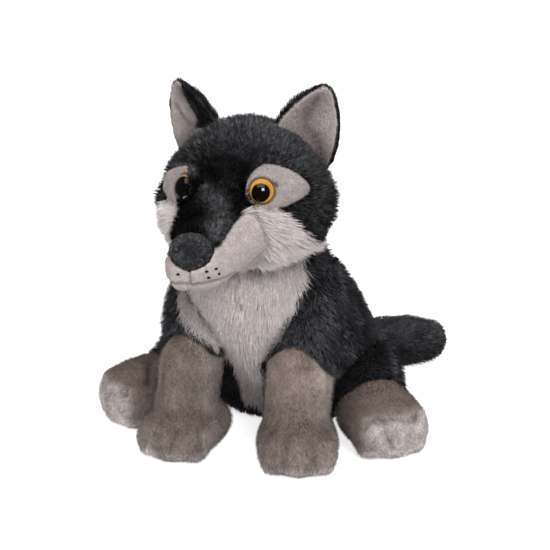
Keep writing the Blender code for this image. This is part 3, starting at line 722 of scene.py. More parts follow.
def pile_tree():
    """Plants fibres on a skin."""
    tree = bpy.data.node_groups.new("pile", "GeometryNodeTree")
    given = pile_inputs(tree)
    seeds = [maths(tree, "ADD", given["Seed"], number) for number in range(5)]
    density = product(tree, named(tree, "cover", "FLOAT"), given["Fibres per m2"])
    points = node_in(tree, "GeometryNodeDistributePointsOnFaces", Mesh=given["Geometry"], Density=density,
                     Seed=given["Seed"]).outputs
    place = tree.nodes.new("GeometryNodeInputPosition").outputs[0]
    lock_noise = node_in(tree, "ShaderNodeTexNoise", Vector=place, Scale=given["Lock Size"], Detail=2.0)
    locks = lock_noise.outputs["Fac"]
    swing = product(tree, maths(tree, "SUBTRACT", locks, 0.5), given["Lock Turn"])
    turn = strayed(tree, combed_along(tree, points["Normal"]), swing, given, seeds)
    uneven = maths(tree, "ADD", product(tree, locks, LOCK_UNEVEN), 1 - LOCK_UNEVEN / 2)
    even_long = product(tree, named(tree, "pile", "FLOAT"), uneven)
    long = product(tree, even_long, chance(tree, *OWN_LENGTH, seeds[3]))
    size = node_in(tree, "ShaderNodeCombineXYZ", X=given["Fibre Width"], Y=long, Z=long)
    fibre = node_in(tree, "GeometryNodeObjectInfo", Object=given["Fibre"])
    planted = node_in(tree, "GeometryNodeInstanceOnPoints", Points=points["Points"],
                      Instance=fibre.outputs["Geometry"], Rotation=turn, Scale=size.outputs[0])
    mix = maths(tree, "ADD", product(tree, chance(tree, 0.0, 1.0, seeds[4]), OWN_SHADE),
                product(tree, locks, 1 - OWN_SHADE))
    kept = tree.nodes.new("GeometryNodeStoreNamedAttribute")
    kept.data_type = "FLOAT"
    kept.domain = "INSTANCE"
    filled(tree, kept, Name="shade", Geometry=planted.outputs[0], Value=mix)
    real = node_in(tree, "GeometryNodeRealizeInstances", Geometry=kept.outputs[0])
    dressed = node_in(tree, "GeometryNodeSetMaterial", Geometry=real.outputs[0], Material=given["Finish"])
    feed(tree, dressed.outputs[0], tree.nodes.new("NodeGroupOutput").inputs[0])
    return tree


PILE = pile_tree()
PILE_SOCKETS = {item.name: item.identifier for item in PILE.interface.items_tree if item.in_out == "INPUT"}
print("inputs of the pile:", ", ".join(PILE_SOCKETS))

# %% [markdown]
# ## Dressing a skin
#
# Fur doesn't grow where another part presses on the fabric, and near the floor it is flattened. A skin lies
# a little inside the CAD solid, so that the pile's tips, and not its roots, end where the solid ends.

# %% Pile on a skin
def open_to_air(places, neighbours, low=0.2 * MM, high=2.5 * MM, thick=REACH):
    """How much pile each point carries: none where another part presses on it."""
    return smoothstep(room_from(places, neighbours, thick), low, high)


def lay(ground, cover, pile, comb, dye_and_light):
    """Writes what the fur reads: where it grows, how long it is, which way it is combed, and its colour with
    any painted light and shade.

    Near the floor the pile is shorter than its height above it, so that none goes through.
    """
    height = places_of(ground.data)[:, 2]
    store(ground.data, "cover", cover * smoothstep(height, 0.5 * MM, 2 * MM))
    store(ground.data, "pile", np.minimum(pile, height / 1.1))
    store(ground.data, "comb", tangents(ground.data, comb))
    store(ground.data, "dye_and_light", even(dye_and_light, ground.data) if len(dye_and_light) == 3 else dye_and_light)


def fur(name, ground, fibre, finish, seed, per_mm2, width, turn, tilt, lock_turn, lock_size):
    """A piece of pile on a skin, as a plain mesh that rides with the toy. Turns are in degrees."""
    obj = add(name, ground.data.copy())
    planting = obj.modifiers.new("pile", "NODES")
    planting.node_group = PILE
    values = {"Fibre": fibre, "Finish": finish, "Fibres per m2": per_mm2 / MM**2, "Fibre Width": width,
              "Turn": math.radians(turn), "Tilt": math.radians(tilt), "Lock Turn": math.radians(lock_turn),
              "Lock Size": lock_size, "Seed": seed}
    for key, value in values.items():
        planting[PILE_SOCKETS[key]] = value
    settle(obj)
    for layer in [layer.name for layer in obj.data.attributes]:
        if layer in ("cover", "pile", "comb", "tint"):
            obj.data.attributes.remove(obj.data.attributes[layer])
    obj.data.shade_smooth()
    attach(obj, "root")
    print(name, "fibres:", len(obj.data.polygons) // 2, "triangles:", len(obj.data.polygons) // 2 * 3)


# %% Skins under the pile
def sink(obj, depth):
    """Moves a skin inwards, to leave room for the pile, and keeps it on the floor."""
    places = places_of(obj.data) - normals_of(obj.data) * np.reshape(depth, (-1, 1))
    places[:, 2] = np.maximum(places[:, 2], 0)
    move_to(obj.data, places)


def clothe(obj, finish, nodes):
    """Gives a stuffed skin its finish and puts it in place of its CAD nodes."""
    obj.data.materials.clear()
    obj.data.materials.append(finish)
    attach(obj, "root")
    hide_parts(*nodes)

# %% [markdown]
# ## Head
#
# The head is one stuffed form with sewn panels: black fur behind, a black nap on the snout, grey velour on
# the muzzle and round the eyes, and long grey fur on the cheeks. Its skin is made whole, with a flat seat
# for each safety eye, and is then creased at the seams.

# %% Head skin
FACE = {"bridge": ["snout_bridge"], "muzzle_left": ["muzzle_left"], "muzzle_right": ["muzzle_right"],
        "chin": ["chin"], "brow": ["brow_patch_left", "brow_patch_right"],
        "cheek": ["cheek_left", "cheek_right"]}
HEAD_NODES = ["head"] + [node for nodes in FACE.values() for node in nodes]
EYE_NODES = ["eye_left", "eye_right"]
WASHER_NODES = ["eye_washer_left", "eye_washer_right"]
EYE_RADIUS = 8.25 * MM
EYE_DOME = 5 * MM
EYE_SEAT = EYE_DOME + 1.0 * MM
EYE_NEAR = 16 * MM


def eye_pose(word):
    """An eye's apex and the way it faces, from its solid and its washer's."""
    points = places_of(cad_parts[f"eye_{word}"].data)
    washer = places_of(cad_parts[f"eye_washer_{word}"].data)
    facing = Vector(points.mean(0) - washer.mean(0)).normalized()
    apex = washer.mean(0) + np.array(facing) * ((points - washer.mean(0)) @ np.array(facing)).max()
    return Vector(apex), facing


def off_axis(places, word):
    """How far each place is from an eye's axis, where it is near that eye."""
    apex, facing = eye_pose(word)
    from_apex = places - np.array(apex)
    axial = from_apex @ np.array(facing)
    aside = np.linalg.norm(from_apex - axial[:, None] * np.array(facing), axis=1)
    return np.where(np.abs(axial) < EYE_NEAR, aside, 1)


head = skin("head_skin", HEAD_NODES + EYE_NODES + WASHER_NODES, voxel=1.2 * MM, rounds=8)
head_places = places_of(head.data)
for word in SIDES:
    apex, facing = eye_pose(word)
    seat = np.array(apex - facing * EYE_SEAT)
    axial = (head_places - seat) @ np.array(facing)
    flat = 1 - smoothstep(off_axis(head_places, word), 8.2 * MM, 10.5 * MM)
    head_places -= (np.maximum(axial, 0) * flat)[:, None] * np.array(facing)
eye_gap = np.min([off_axis(head_places, word) for word in SIDES], axis=0)
move_to(head.data, averaged(head.data, head_places, 2, pairs=True))
print("eye seats:", len(SIDES))

# %% [markdown]
# ## Fabrics of the head
#
# The black, the bridge, the cheeks and the brows follow the CAD panels. The muzzle's velour is drawn as an
# outline on the wolf's left side, which the photograph shows best, and is mirrored across the middle
# between the eyes. Three edges were then moved to where the photograph has them: the black reaches down
# over the temple and the brow, and the nap of the bridge reaches over the far side of the snout.

# %% Middle of the face
# The rear and upper edge of the muzzle's velour. The points at the picture's left only close the outline.
MUZZLE_OUTLINE = ((212, 252), (219.6, 243), (227.3, 232.3), (231.9, 224.7), (239.5, 215.5), (248.7, 210.9),
                  (254.9, 214.7), (260.2, 221.6), (264, 230.8), (266.3, 240), (265.9, 249.2), (261, 258.4),
                  (253.3, 267.5), (244, 274), (232, 280), (213.5, 289.5), (193.6, 294), (150, 294),
                  (150, 252))
# The far side of the snout, where the black nap ends.
SNOUT_SIDE = ((182, 198), (179, 208), (176, 220), (170.6, 237), (166, 248), (168, 256), (200, 256),
              (228, 230), (224, 196))
SEAM_BLUR = 0.35 * MM
near = {kind: distance_to(places_of(head.data), nodes) for kind, nodes in {**FACE, "black": ["head"]}.items()}
skin_places = places_of(head.data)
eye_apex = {word: np.array(eye_pose(word)[0]) for word in SIDES}
across = (eye_apex["left"] - eye_apex["right"]) / np.linalg.norm(eye_apex["left"] - eye_apex["right"])
off_middle = (skin_places - (eye_apex["left"] + eye_apex["right"]) / 2) @ across
folded = skin_places - 2 * np.minimum(off_middle, 0)[:, None] * across
right_side = smoothstep(-off_middle, 0, 3 * MM)
print("points on the right:", int((off_middle < 0).sum()), "of", len(off_middle))


# %% Shares of the fabrics
MUZZLE_REACH = 12 * MM
SNOUT_REACH = 24 * MM
share = {}


def lead(kind, *others):
    """How much nearer a fabric is than the nearest of the others: zero along the seam."""
    rest = [near[other] for other in (others or [key for key in near if key != kind])]
    return np.min(rest, axis=0) - near[kind]


def hand_over(kind, other, much):
    """Gives a share of one fabric to another at each point."""
    taken = share[other] * much
    share[kind] = share[kind] + taken
    share[other] = share[other] - taken


def spread_over(kind, other, reach):
    """Lets one fabric reach over its seam onto another, by a distance for each point."""
    own = skin_places[share[kind] > 0.5]
    tree = KDTree(len(own))
    for number, place in enumerate(own):
        tree.insert(place, number)
    tree.balance()
    far = np.array([tree.find(place)[2] for place in skin_places])
    hand_over(kind, other, edge(reach - far, 0.5 * MM) * (reach > 0.1 * MM))


muzzle_gap = inside(folded, MUZZLE_OUTLINE)
near_muzzle = np.min([near[kind] for kind in ("muzzle_left", "muzzle_right", "chin")], axis=0)
muzzle_gap[near_muzzle > MUZZLE_REACH] = -20 * MM
share["muzzle"] = np.maximum(edge(muzzle_gap, SEAM_BLUR), edge(lead("chin"), SEAM_BLUR))
outer = ("black", "bridge", "cheek", "brow")
for kind in outer:
    others = [other for other in outer if other != kind]
    share[kind] = edge(lead(kind, *others), SEAM_BLUR) * (1 - share["muzzle"])
at_temple = smoothstep(skin_places[:, 2], 146 * MM, 158 * MM)
spread_over("black", "cheek", (12 - 6 * right_side) * MM * at_temple)
above_eye = smoothstep(skin_places[:, 2] - eye_apex["right"][2], 2 * MM, 8 * MM)
spread_over("black", "brow", (1.5 + 3 * above_eye) * MM * right_side)
facing_camera = normals_of(head.data) @ np.array(to_camera) > -0.1
snout_side = edge(inside(skin_places, SNOUT_SIDE), SEAM_BLUR) * right_side * facing_camera
for kind in ("muzzle", "cheek"):
    hand_over("bridge", kind, snout_side * (near["bridge"] < SNOUT_REACH))
velour_share = np.clip(share["muzzle"] + share["brow"], 0, 1)
print("share of the head:", {kind: round(float(part.mean()), 2) for kind, part in share.items()})

# %% [markdown]
# ## Seams of the head
#
# A seam pulls the fabric in, so the skin is sunk along it and darkened a little with painted shade, as is the
# hollow round each eye. The black skin lies deeper than the velour, because its fur is longer. The lid over
# each eye is a small fold of the brow.

# %% Seams, hollows and colours
# The line between the lips, from under the nose to the corner of the mouth.
MOUTH_LINE = ((190, 285), (205, 283.5), (222, 279), (240, 270.5), (252, 262), (261, 254))
# The upright seam from the nose down to the lips.
PHILTRUM = ((188.5, 262), (189, 272), (190, 284))
# Where the cheek's fur stands out furthest, at the picture's right.
RUFF = ((316, 222), (316, 240))
# The outer corner of each eye, darkened as painted shade.
EYE_CORNERS = (((271.5, 183.0), (276.0, 185.5)), ((179.0, 181.5), (182.5, 180.0)))
UNDER_BLACK, UNDER_CHEEK, UNDER_BRIDGE, UNDER_VELOUR = 2.8 * MM, 2.4 * MM, 1.6 * MM, 0.4 * MM
SEAM_DEPTH = 1.1 * MM
LIP_SWELL = 3.6 * MM
RUFF_SWELL = 4.5 * MM
SEAM_SHADE = 0.45
HOLLOW_SHADE = 0.6
surface = surface_of(head)
mouth = along(folded, drawn(surface, *MOUTH_LINE), 1.1 * MM)
philtrum = along(skin_places, drawn(surface, *PHILTRUM), 1.0 * MM)
rear_seam = np.exp(-(muzzle_gap / (0.9 * MM))**2) * (1 - share["black"]) * (1 - share["bridge"])
seam = np.max([1.3 * rear_seam, 1.1 * mouth, philtrum], axis=0)
lip = smoothstep(-off_middle, 4 * MM, 11 * MM) * (1 - smoothstep(skin_places[:, 2], 158 * MM, 170 * MM))
ruff = along(folded, drawn(surface, *RUFF), 10 * MM) * (1 - right_side)
depth = (UNDER_BLACK * share["black"] + UNDER_CHEEK * share["cheek"] + UNDER_BRIDGE * share["bridge"]
         + UNDER_VELOUR * velour_share - LIP_SWELL * share["muzzle"] * lip)
depth = averaged(head.data, depth[:, None], 6)[:, 0] + SEAM_DEPTH * seam - RUFF_SWELL * ruff
# The fabrics' colours, with painted shade along the seams, in the hollow round each eye's rim and at its
# outer corner.
tint = blended([share[kind] for kind in ("black", "bridge", "cheek", "muzzle", "brow")],
               [BLACK, NAP_BLACK, GREY, VELOUR, SHADED_BROW_VELOUR])
hollow_shade = np.exp(-((eye_gap - 8.4 * MM) / (1.0 * MM))**2)
hollow_shade = np.maximum(hollow_shade, 1.4 * marked(skin_places, surface, EYE_CORNERS, 1.8 * MM))
tint[:, :3] *= ((1 - SEAM_SHADE * np.clip(seam, 0, 1)) * (1 - HOLLOW_SHADE * hollow_shade))[:, None]
store(head.data, "tint", tint)
sink(head, depth)
print("skin sunk by up to", round(float(depth.max()) / MM, 1), "mm")

# %% Eyelids
LID_RADIUS = 10.3 * MM
LID_WIDTH = 1.9 * MM
LID_RISE = {"left": 1.9, "right": 6.0}
for word in SIDES:
    apex, facing = eye_pose(word)
    head_places = places_of(head.data)
    around = (head_places - np.array(apex)) / (10 * MM)
    inward = smoothstep(-around[:, 0] * (1 if word == "left" else -1) - 0.5 * around[:, 1], -0.2, 1.0)
    lid = np.exp(-((off_axis(head_places, word) - LID_RADIUS) / LID_WIDTH)**2)
    lid *= 0.5 + LID_RISE[word] * inward
    move_to(head.data, head_places + np.array(facing) * (lid * MM)[:, None])
clothe(head, plush_skin, HEAD_NODES)
print("eyelids:", len(LID_RISE))

# %% [markdown]
# ## Head fur
#
# The pile is combed from the nose backwards over the brow and the crown, and back and down on the cheeks.
# On the forehead its black is darkened as painted shade, and on the crown, which faces the light, its fibres
# are lightened as a painted highlight.

# %% Where the fur grows and how it is combed
EARS = ["ear_back_left", "ear_back_right", "ear_lining_left", "ear_lining_right"]
TORSO_NODES = ["torso", "chest_bib"]
FORE_NODES = ["foreleg_left", "foreleg_right"]
nose_low, nose_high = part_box("nose")
head_low, head_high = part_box("head")
head_places = places_of(head.data)
by_ear = open_to_air(head_places, EARS, low=-0.5 * MM, high=7 * MM, thick=2.2 * MM)
air = open_to_air(head_places, ["nose", *TORSO_NODES, *FORE_NODES])
air *= smoothstep(by_ear, 0, 0.05) * smoothstep(eye_gap, 8.5 * MM, 9.5 * MM)
backwards = head_places - np.array((nose_low + nose_high) / 2)
backwards /= np.linalg.norm(backwards, axis=1, keepdims=True)
outwards = (head_places - np.array((head_low + head_high) / 2)) / np.array(head_high - head_low) * 2
sides = smoothstep(np.abs(outwards[:, 0]), 0.55, 0.95)
aside = np.stack([np.sign(outwards[:, 0]) * sides, np.zeros(len(sides)), -0.3 - 0.3 * sides], 1)
upward = smoothstep(normals_of(head.data)[:, 2], 0.4, 0.95)
forehead = 1 - smoothstep(np.abs(outwards[:, 0]), 0.45, 0.8)
forehead *= smoothstep(-outwards[:, 1], -0.1, 0.2) * (1 - upward)
print("open to the air:", round(float(air.mean()), 2), "of the head")

# %% Fur of the crown and the cheeks
CHEEK_COMB = np.array((0, 0.15, -0.35))
# Painted light on the black pile: a highlight where the skin faces up, painted shade on the forehead.
head_light_and_shade = blended([forehead, upward, 1 - forehead - upward], [SHADED_BLACK, LIT_CROWN_BLACK, TEMPLE_BLACK])
black_pile = 6.8 * MM * (0.6 + 0.4 * smoothstep(lead("black"), 0, 3 * MM)) * (0.5 + 0.5 * by_ear) * (
    1 + (0.6 - 0.4 * right_side) * sides)
lay(head, share["black"] * air, pile=black_pile, comb=backwards + aside, dye_and_light=head_light_and_shade)
fur("head_fur", head, STANDING, black_fibres, seed=11,
    per_mm2=1.75, width=0.48 * MM, turn=50, tilt=24, lock_turn=120, lock_size=130)
under = smoothstep(-outwards[:, 2], 0.35, 0.75)
off_eye = smoothstep(eye_gap, 10 * MM, 17 * MM)
beside_snout = smoothstep(off_axis(head_places, "right"), 11 * MM, 13 * MM)
cheek_pile = 9.5 * MM * (1 + 0.35 * under) * (0.3 + 0.7 * off_eye)
lay(head, share["cheek"] * air * beside_snout, pile=cheek_pile, comb=backwards + aside * 0.6 + CHEEK_COMB,
    dye_and_light=GREY)
fur("cheek_fur", head, LYING, grey_fibres, seed=12,
    per_mm2=2.1, width=0.40 * MM, turn=15, tilt=14, lock_turn=85, lock_size=70)

# %% Nap of the snout and the velour
# The paler streak down the bridge of the snout: partly grey flecks of the nap, partly painted sheen.
BRIDGE_LIGHT = ((206, 191), (216, 205), (222, 222), (214, 236))
flecks_and_sheen = along(head_places, drawn(surface_of(head), *BRIDGE_LIGHT), 6 * MM)
lay(head, share["bridge"] * air, pile=4.6 * MM, comb=backwards,
    dye_and_light=blended([1 - flecks_and_sheen, flecks_and_sheen], [SHADED_BLACK, BRIDGE_FLECKS_AND_SHEEN]))
fur("bridge_nap", head, STANDING, nap_fibres, seed=13,
    per_mm2=2.9, width=0.34 * MM, turn=25, tilt=22, lock_turn=80, lock_size=110)
# The velour's nap takes the skin's colours, its painted shade included.
lay(head, velour_share * air, pile=1.3 * MM, comb=backwards, dye_and_light=tint)
fur("face_nap", head, STANDING, velour_fibres, seed=14,
    per_mm2=2.3, width=0.38 * MM, turn=40, tilt=25, lock_turn=60, lock_size=180)

# %% [markdown]
# ## Whisker stitches
#
# Six small stitches of black thread mark where whiskers would grow. A flattened ball stands for each.

# %% Whisker stitches
WHISKERS = ((206.6, 271.3), (208.6, 277.3), (215.6, 268.6), (218.3, 273.6), (178.0, 274.0), (189.8, 272.0))
STITCH = (1.25 * MM, 0.75 * MM, 0.4 * MM, 1)
STITCH_LIFT = 0.9 * MM
surface = surface_of(head)
sketch = bmesh.new()
for pixel in WHISKERS:
    spot, facing, _, _ = surface.ray_cast(*sight(*pixel))
    if spot is not None:
        turn = facing.to_track_quat("Z", "Y").to_matrix().to_4x4()
        place = Matrix.Translation(spot + facing * STITCH_LIFT) @ turn
        bmesh.ops.create_icosphere(sketch, subdivisions=2, radius=1, matrix=place @ Matrix.Diagonal(STITCH))
stitches = add("whisker_stitches", mesh_of(sketch, "whisker_stitches"))
stitches.data.shade_smooth()
stitches.data.materials.append(nose_skin)
store(stitches.data, "tint", even(BLACK, stitches.data))
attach(stitches, "root")
print("whisker stitches:", len(WHISKERS))

# %% [markdown]
# ## Nose
#
# The nose is a small padded ball of black velour, sewn to the end of the snout. Its nap stands out from the
# ball's middle.

# %% Nose
NOSE_COMB = np.array((0, -0.01, 0.004))
nose = skin("nose_pad", ["nose"], voxel=0.8 * MM, rounds=10)
store(nose.data, "tint", even(NAP_BLACK, nose.data))
sink(nose, 0.3 * MM)
clothe(nose, nose_skin, ["nose"])
nose_places = places_of(nose.data)
air = open_to_air(nose_places, ["snout_bridge", "muzzle_left", "muzzle_right", "head"], low=0.1 * MM,
                  high=1.5 * MM)
lay(nose, air, pile=1.1 * MM, comb=nose_places - (nose_places.mean(0) + NOSE_COMB), dye_and_light=NAP_BLACK)
fur("nose_nap", nose, STANDING, nap_fibres, seed=15,
    per_mm2=4.0, width=0.28 * MM, turn=60, tilt=30, lock_turn=60, lock_size=200)

# %% [markdown]
# ## Eyes
#
# A safety eye is a moulded dome: amber with a black pupil, under a clear gloss. A profile turned round the
# eye's axis makes it, and each point keeps its distance from the axis and from the pupil's middle, from
# which the finish draws them. The pupil lies behind the dome, which bends its image forwards, so it is
# drawn a little ahead.

# %% Eye finish
AMBER_RINGS = ((0.0, (0.34, 0.15, 0.012)), (0.70, (0.42, 0.19, 0.012)), (0.84, (0.60, 0.30, 0.03)),
               (0.94, (0.40, 0.17, 0.012)), (1.0, (0.10, 0.04, 0.006)))
PUPIL_BLACK = 0.003
PUPIL_EDGE = (0.71, 0.75)


def amber_finish():
    """Amber in rings round the eye's axis, with a black pupil, under a clear coat."""
    made, tree, shader = new_finish("amber_eye", Roughness=0.5, Specular_IOR_Level=0.0, Coat_Weight=1.0,
                                    Coat_Roughness=0.02)
    ramp = node_in(tree, "ShaderNodeValToRGB", Fac=attribute(tree, "out")[1])
    for number, (place, colour) in enumerate(AMBER_RINGS):
        stop = ramp.color_ramp.elements[number] if number < 2 else ramp.color_ramp.elements.new(place)
        stop.position = place
        stop.color = (*colour, 1)
    iris = ranged(tree, attribute(tree, "pupil")[1], PUPIL_BLACK, 1, *PUPIL_EDGE)
    filled(tree, shader, Base_Color=shaded(tree, ramp.outputs["Color"], iris))
    return made


# %% Eyes
DOME_RINGS = 18
DOME_SIDES = 48
DOME_BACK = ((EYE_RADIUS, -0.9 * MM), (EYE_RADIUS * 0.5, -1.4 * MM))
PUPIL_WAY = Vector((0, -0.9, -0.35))
PUPIL_SHIFT = {"left": 2.3 * MM, "right": 2.6 * MM}
# The right eye's pupil is drawn larger: partly the dome bending its image, partly painted shade over its
# amber.
PUPIL_SHARE = {"left": 1.0, "right": 0.72}


def dome(name):
    """A shallow ball cap with a closed back, its axis upright and its rim at height zero."""
    radius = (EYE_RADIUS**2 + EYE_DOME**2) / (2 * EYE_DOME)
    profile = [EYE_RADIUS * number / DOME_RINGS for number in range(1, DOME_RINGS + 1)]
    heights = [EYE_DOME - radius + math.sqrt(radius**2 - out**2) for out in profile]
    turns = [2 * math.pi * number / DOME_SIDES for number in range(DOME_SIDES)]
    sketch = bmesh.new()
    top = sketch.verts.new((0, 0, EYE_DOME))
    loops = [[sketch.verts.new((out * math.cos(turn), out * math.sin(turn), height)) for turn in turns]
             for out, height in [*zip(profile, heights), *DOME_BACK]]
    for number in range(DOME_SIDES):
        after = (number + 1) % DOME_SIDES
        sketch.faces.new((top, loops[0][number], loops[0][after]))
        for low, high in zip(loops, loops[1:]):
            sketch.faces.new((low[number], high[number], high[after], low[after]))
    sketch.faces.new(loops[-1])
    bmesh.ops.recalc_face_normals(sketch, faces=sketch.faces)
    return mesh_of(sketch, name)


amber = amber_finish()
for word in SIDES:
    apex, facing = eye_pose(word)
    turn = facing.to_track_quat("Z", "Y").to_matrix().to_4x4()
    mesh = dome(f"{word}_eye_dome")
    flat = places_of(mesh)[:, :2]
    pupil_at = np.array(turn.to_3x3().inverted() @ PUPIL_WAY)[:2] * PUPIL_SHIFT[word]
    store(mesh, "out", np.linalg.norm(flat, axis=1) / EYE_RADIUS)
    store(mesh, "pupil", np.linalg.norm(flat - pupil_at, axis=1) / EYE_RADIUS * PUPIL_SHARE[word])
    mesh.transform(Matrix.Translation(apex - facing * EYE_DOME) @ turn)
    mesh.shade_smooth()
    mesh.materials.append(amber)
    obj = add(f"{word}_eye_dome", mesh)
    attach(obj, "root")
    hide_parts(f"eye_{word}")
print("eyes:", len(SIDES))

# %% [markdown]
# ## Ears
#
# An ear is black fur behind and a grey velour lining in front, a little smaller, so that the fur shows as a
# dark fringe all round it. The lining is darkened with painted shade in the hollow along its middle, along
# its folds and towards the head. Black fur from the crown grows over the inner part of the right ear's
# lining.

# %% Ear linings
# The fold in the right ear's lining, darkened as painted shade, and the part of that lining that is black
# fur.
EAR_FOLD = ((176, 104), (181, 113), (190, 124))
EAR_FUR = ((172, 60), (181.3, 85.3), (190.5, 105.2), (199, 121.3), (196, 128), (230, 128), (230, 60))
HOLLOW_POINTS = 12


def lining_colours(lining, word, places):
    """The velour's colour with its painted shade, how black it is, and the way from its foot to its peak."""
    peak, foot = [places[order] for order in (places[:, 2].argmax(), places[:, 2].argmin())]
    rise = smoothstep(places[:, 2], foot[2] + 2 * MM, foot[2] + 26 * MM)
    middle = np.array([places[np.abs(places[:, 2] - height) < 3 * MM].mean(0)
                       for height in np.linspace(foot[2] + 6 * MM, peak[2] - 8 * MM, HOLLOW_POINTS)])
    fold = along(places, middle, 2.0 * MM)
    hollow_shade = 0.8 * along(places, middle, 7 * MM)
    furred = np.zeros(len(places))
    colours = blended([1 - hollow_shade, hollow_shade], [EAR_GREY, EAR_HOLLOW_SHADE])
    # Painted shade towards the ear's foot and along its middle fold, and on the right ear along its drawn
    # fold.
    colours[:, :3] *= ((0.6 + 0.4 * rise) * (1 - 0.3 * fold))[:, None]
    if word == "right":
        colours[:, :3] *= (1 - 0.45 * along(places, drawn(surface_of(lining), *EAR_FOLD), 1.5 * MM))[:, None]
        furred = edge(inside(places, EAR_FUR), 0.4 * MM)
    colours[:, :3] = colours[:, :3] * (1 - furred)[:, None] + np.array(BLACK) * furred[:, None]
    store(lining.data, "tint", colours)
    sink(lining, 0.3 * MM * fold)
    return colours, furred, peak - foot


def line_ear(word, seed):
    """The velour lining of an ear, with its nap."""
    back_node, lining_node = f"ear_back_{word}", f"ear_lining_{word}"
    lining = skin(f"{word}_ear_lining", [lining_node], voxel=1.1 * MM, rounds=5)
    places = places_of(lining.data)
    colours, furred, upwards = lining_colours(lining, word, places)
    clothe(lining, velour_skin, [lining_node])
    air = open_to_air(places, [back_node, "head"], low=0.3 * MM, high=1.2 * MM)
    if word == "right":
        lay(lining, furred * air, pile=4.0 * MM, comb=upwards, dye_and_light=BODY_BLACK)
        fur("right_ear_edge", lining, LYING, black_fibres, seed=27,
            per_mm2=3.2, width=0.40 * MM, turn=25, tilt=16, lock_turn=50, lock_size=90)
    lay(lining, (1 - furred) * air, pile=1.6 * MM, comb=upwards, dye_and_light=colours)
    fur(f"{word}_ear_nap", lining, STANDING, velour_fibres, seed=seed,
        per_mm2=2.4, width=0.32 * MM, turn=40, tilt=25, lock_turn=60, lock_size=180)


# %% Ear backs
def fur_ear(ear, word, seed):
    """The black fur behind an ear, longer on the side towards the crown."""
    back_node, lining_node = f"ear_back_{word}", f"ear_lining_{word}"
    places = places_of(ear.data)
    low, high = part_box(back_node)
    root = np.array(((low.x + high.x) / 2, (low.y + high.y) / 2, low.z))
    upwards = places[places[:, 2].argmax()] - root
    air = open_to_air(places, [lining_node, "head", "cheek_left", "cheek_right"])
    towards_middle = -places[:, 0] * (1 if word == "left" else -1)
    medial = smoothstep(towards_middle, *np.percentile(towards_middle, (35, 85)))
    lay(ear, air, pile=(2.4 + 3.4 * medial) * MM, comb=(places - root) * 0.2 + upwards * 0.6, dye_and_light=BODY_BLACK)
    fur(f"{word}_ear_fur", ear, LYING, black_fibres, seed=seed,
        per_mm2=2.8, width=0.38 * MM, turn=18, tilt=12, lock_turn=50, lock_size=90)


for number, word in enumerate(SIDES):
    ear = skin(f"{word}_ear", [f"ear_back_{word}"], voxel=1.2 * MM, rounds=5)
    sink(ear, 1.0 * MM)
    store(ear.data, "tint", even(BLACK, ear.data))
    clothe(ear, plush_skin, [f"ear_back_{word}"])
    line_ear(word, seed=17 + number)
    fur_ear(ear, word, seed=21 + number)

# %% [markdown]
# ## Torso
#
# The torso is stuffed first, as cloth under pressure, and then gets its chest panel: long grey fur that
# hangs over the black fur at its sides. The bib is an outline on the photograph, kept to the front by its
# CAD panel.

# %% Torso
# The bib's edge, down its side at the picture's right, round its tip on the floor and up the other side.
BIB_OUTLINE = ((303.4, 240), (303.4, 269.4), (299.9, 288.3), (295.2, 304.8), (285.8, 323.7), (274, 342.5),
               (262.2, 351), (257.5, 361.4), (259.8, 376), (261.7, 413), (251, 410), (241, 392), (238.6, 378),
               (231.5, 361.4), (222, 349.6), (212.6, 341.4), (193.8, 330.8), (179.6, 314), (179.6, 283),
               (190, 240))
BIB_BLUR = 0.6 * MM
FUR_DEPTH = 2.8 * MM
LEG_NODES = [f"{kind}_{word}" for kind in ("foreleg", "forepaw", "hind_leg", "hind_foot") for word in SIDES]
PRESSED, FREE = -4 * MM, -2 * MM
torso = stuffed(skin("torso_skin", TORSO_NODES, voxel=4.5 * MM, rounds=2), cap=2.5 * MM)
torso_places = places_of(torso.data)
bib_reach = 9 * MM + 9 * MM * (1 - smoothstep(torso_places[:, 2], 25 * MM, 50 * MM))
by_bib = distance_to(torso_places, ["chest_bib"]) < bib_reach
bib_gap = np.where(by_bib, inside(torso_places, BIB_OUTLINE), -MM)
bib_share = edge(bib_gap, BIB_BLUR)
store(torso.data, "tint", blended([1 - bib_share, bib_share], [BLACK, GREY]))
sink(torso, FUR_DEPTH)
clothe(torso, plush_skin, TORSO_NODES)

# %% Torso fur
DOWN = np.array((0.0, 0.25, -1.0))
torso_places = places_of(torso.data)
air = open_to_air(torso_places, [*HEAD_NODES, *LEG_NODES, "tail"], PRESSED, FREE)
lay(torso, (1 - bib_share) * air, pile=6.4 * MM, comb=DOWN, dye_and_light=BODY_BLACK)
fur("torso_fur", torso, STANDING, body_fibres, seed=31,
    per_mm2=0.78, width=0.64 * MM, turn=32, tilt=16, lock_turn=75, lock_size=80)
lay(torso, bib_share * air, pile=10.5 * MM, comb=DOWN * (1, 0, 1) + torso_places * (2, 0, 0), dye_and_light=GREY)
fur("bib_fur", torso, LYING, grey_fibres, seed=32,
    per_mm2=2.3, width=0.43 * MM, turn=16, tilt=13, lock_turn=90, lock_size=70)

# %% [markdown]
# ## Legs and paws
#
# Each leg is one stuffed form: black fur above, a taupe sock and paw below, and a paler sole. The sock's
# plush is very short, so its skin lies almost at the surface, and it is mottled. Painted light makes the
# upper sock of each foreleg paler, and painted sheen the front, rim and flanks of each paw. Toes are folds
# that a stitch pulls in, drawn on the photograph like the dimples of the hind feet, and both are darkened
# with painted shade.
# Seams drawn in the black fur get a painted highlight, and the forelegs' fur is lightened as painted sheen.

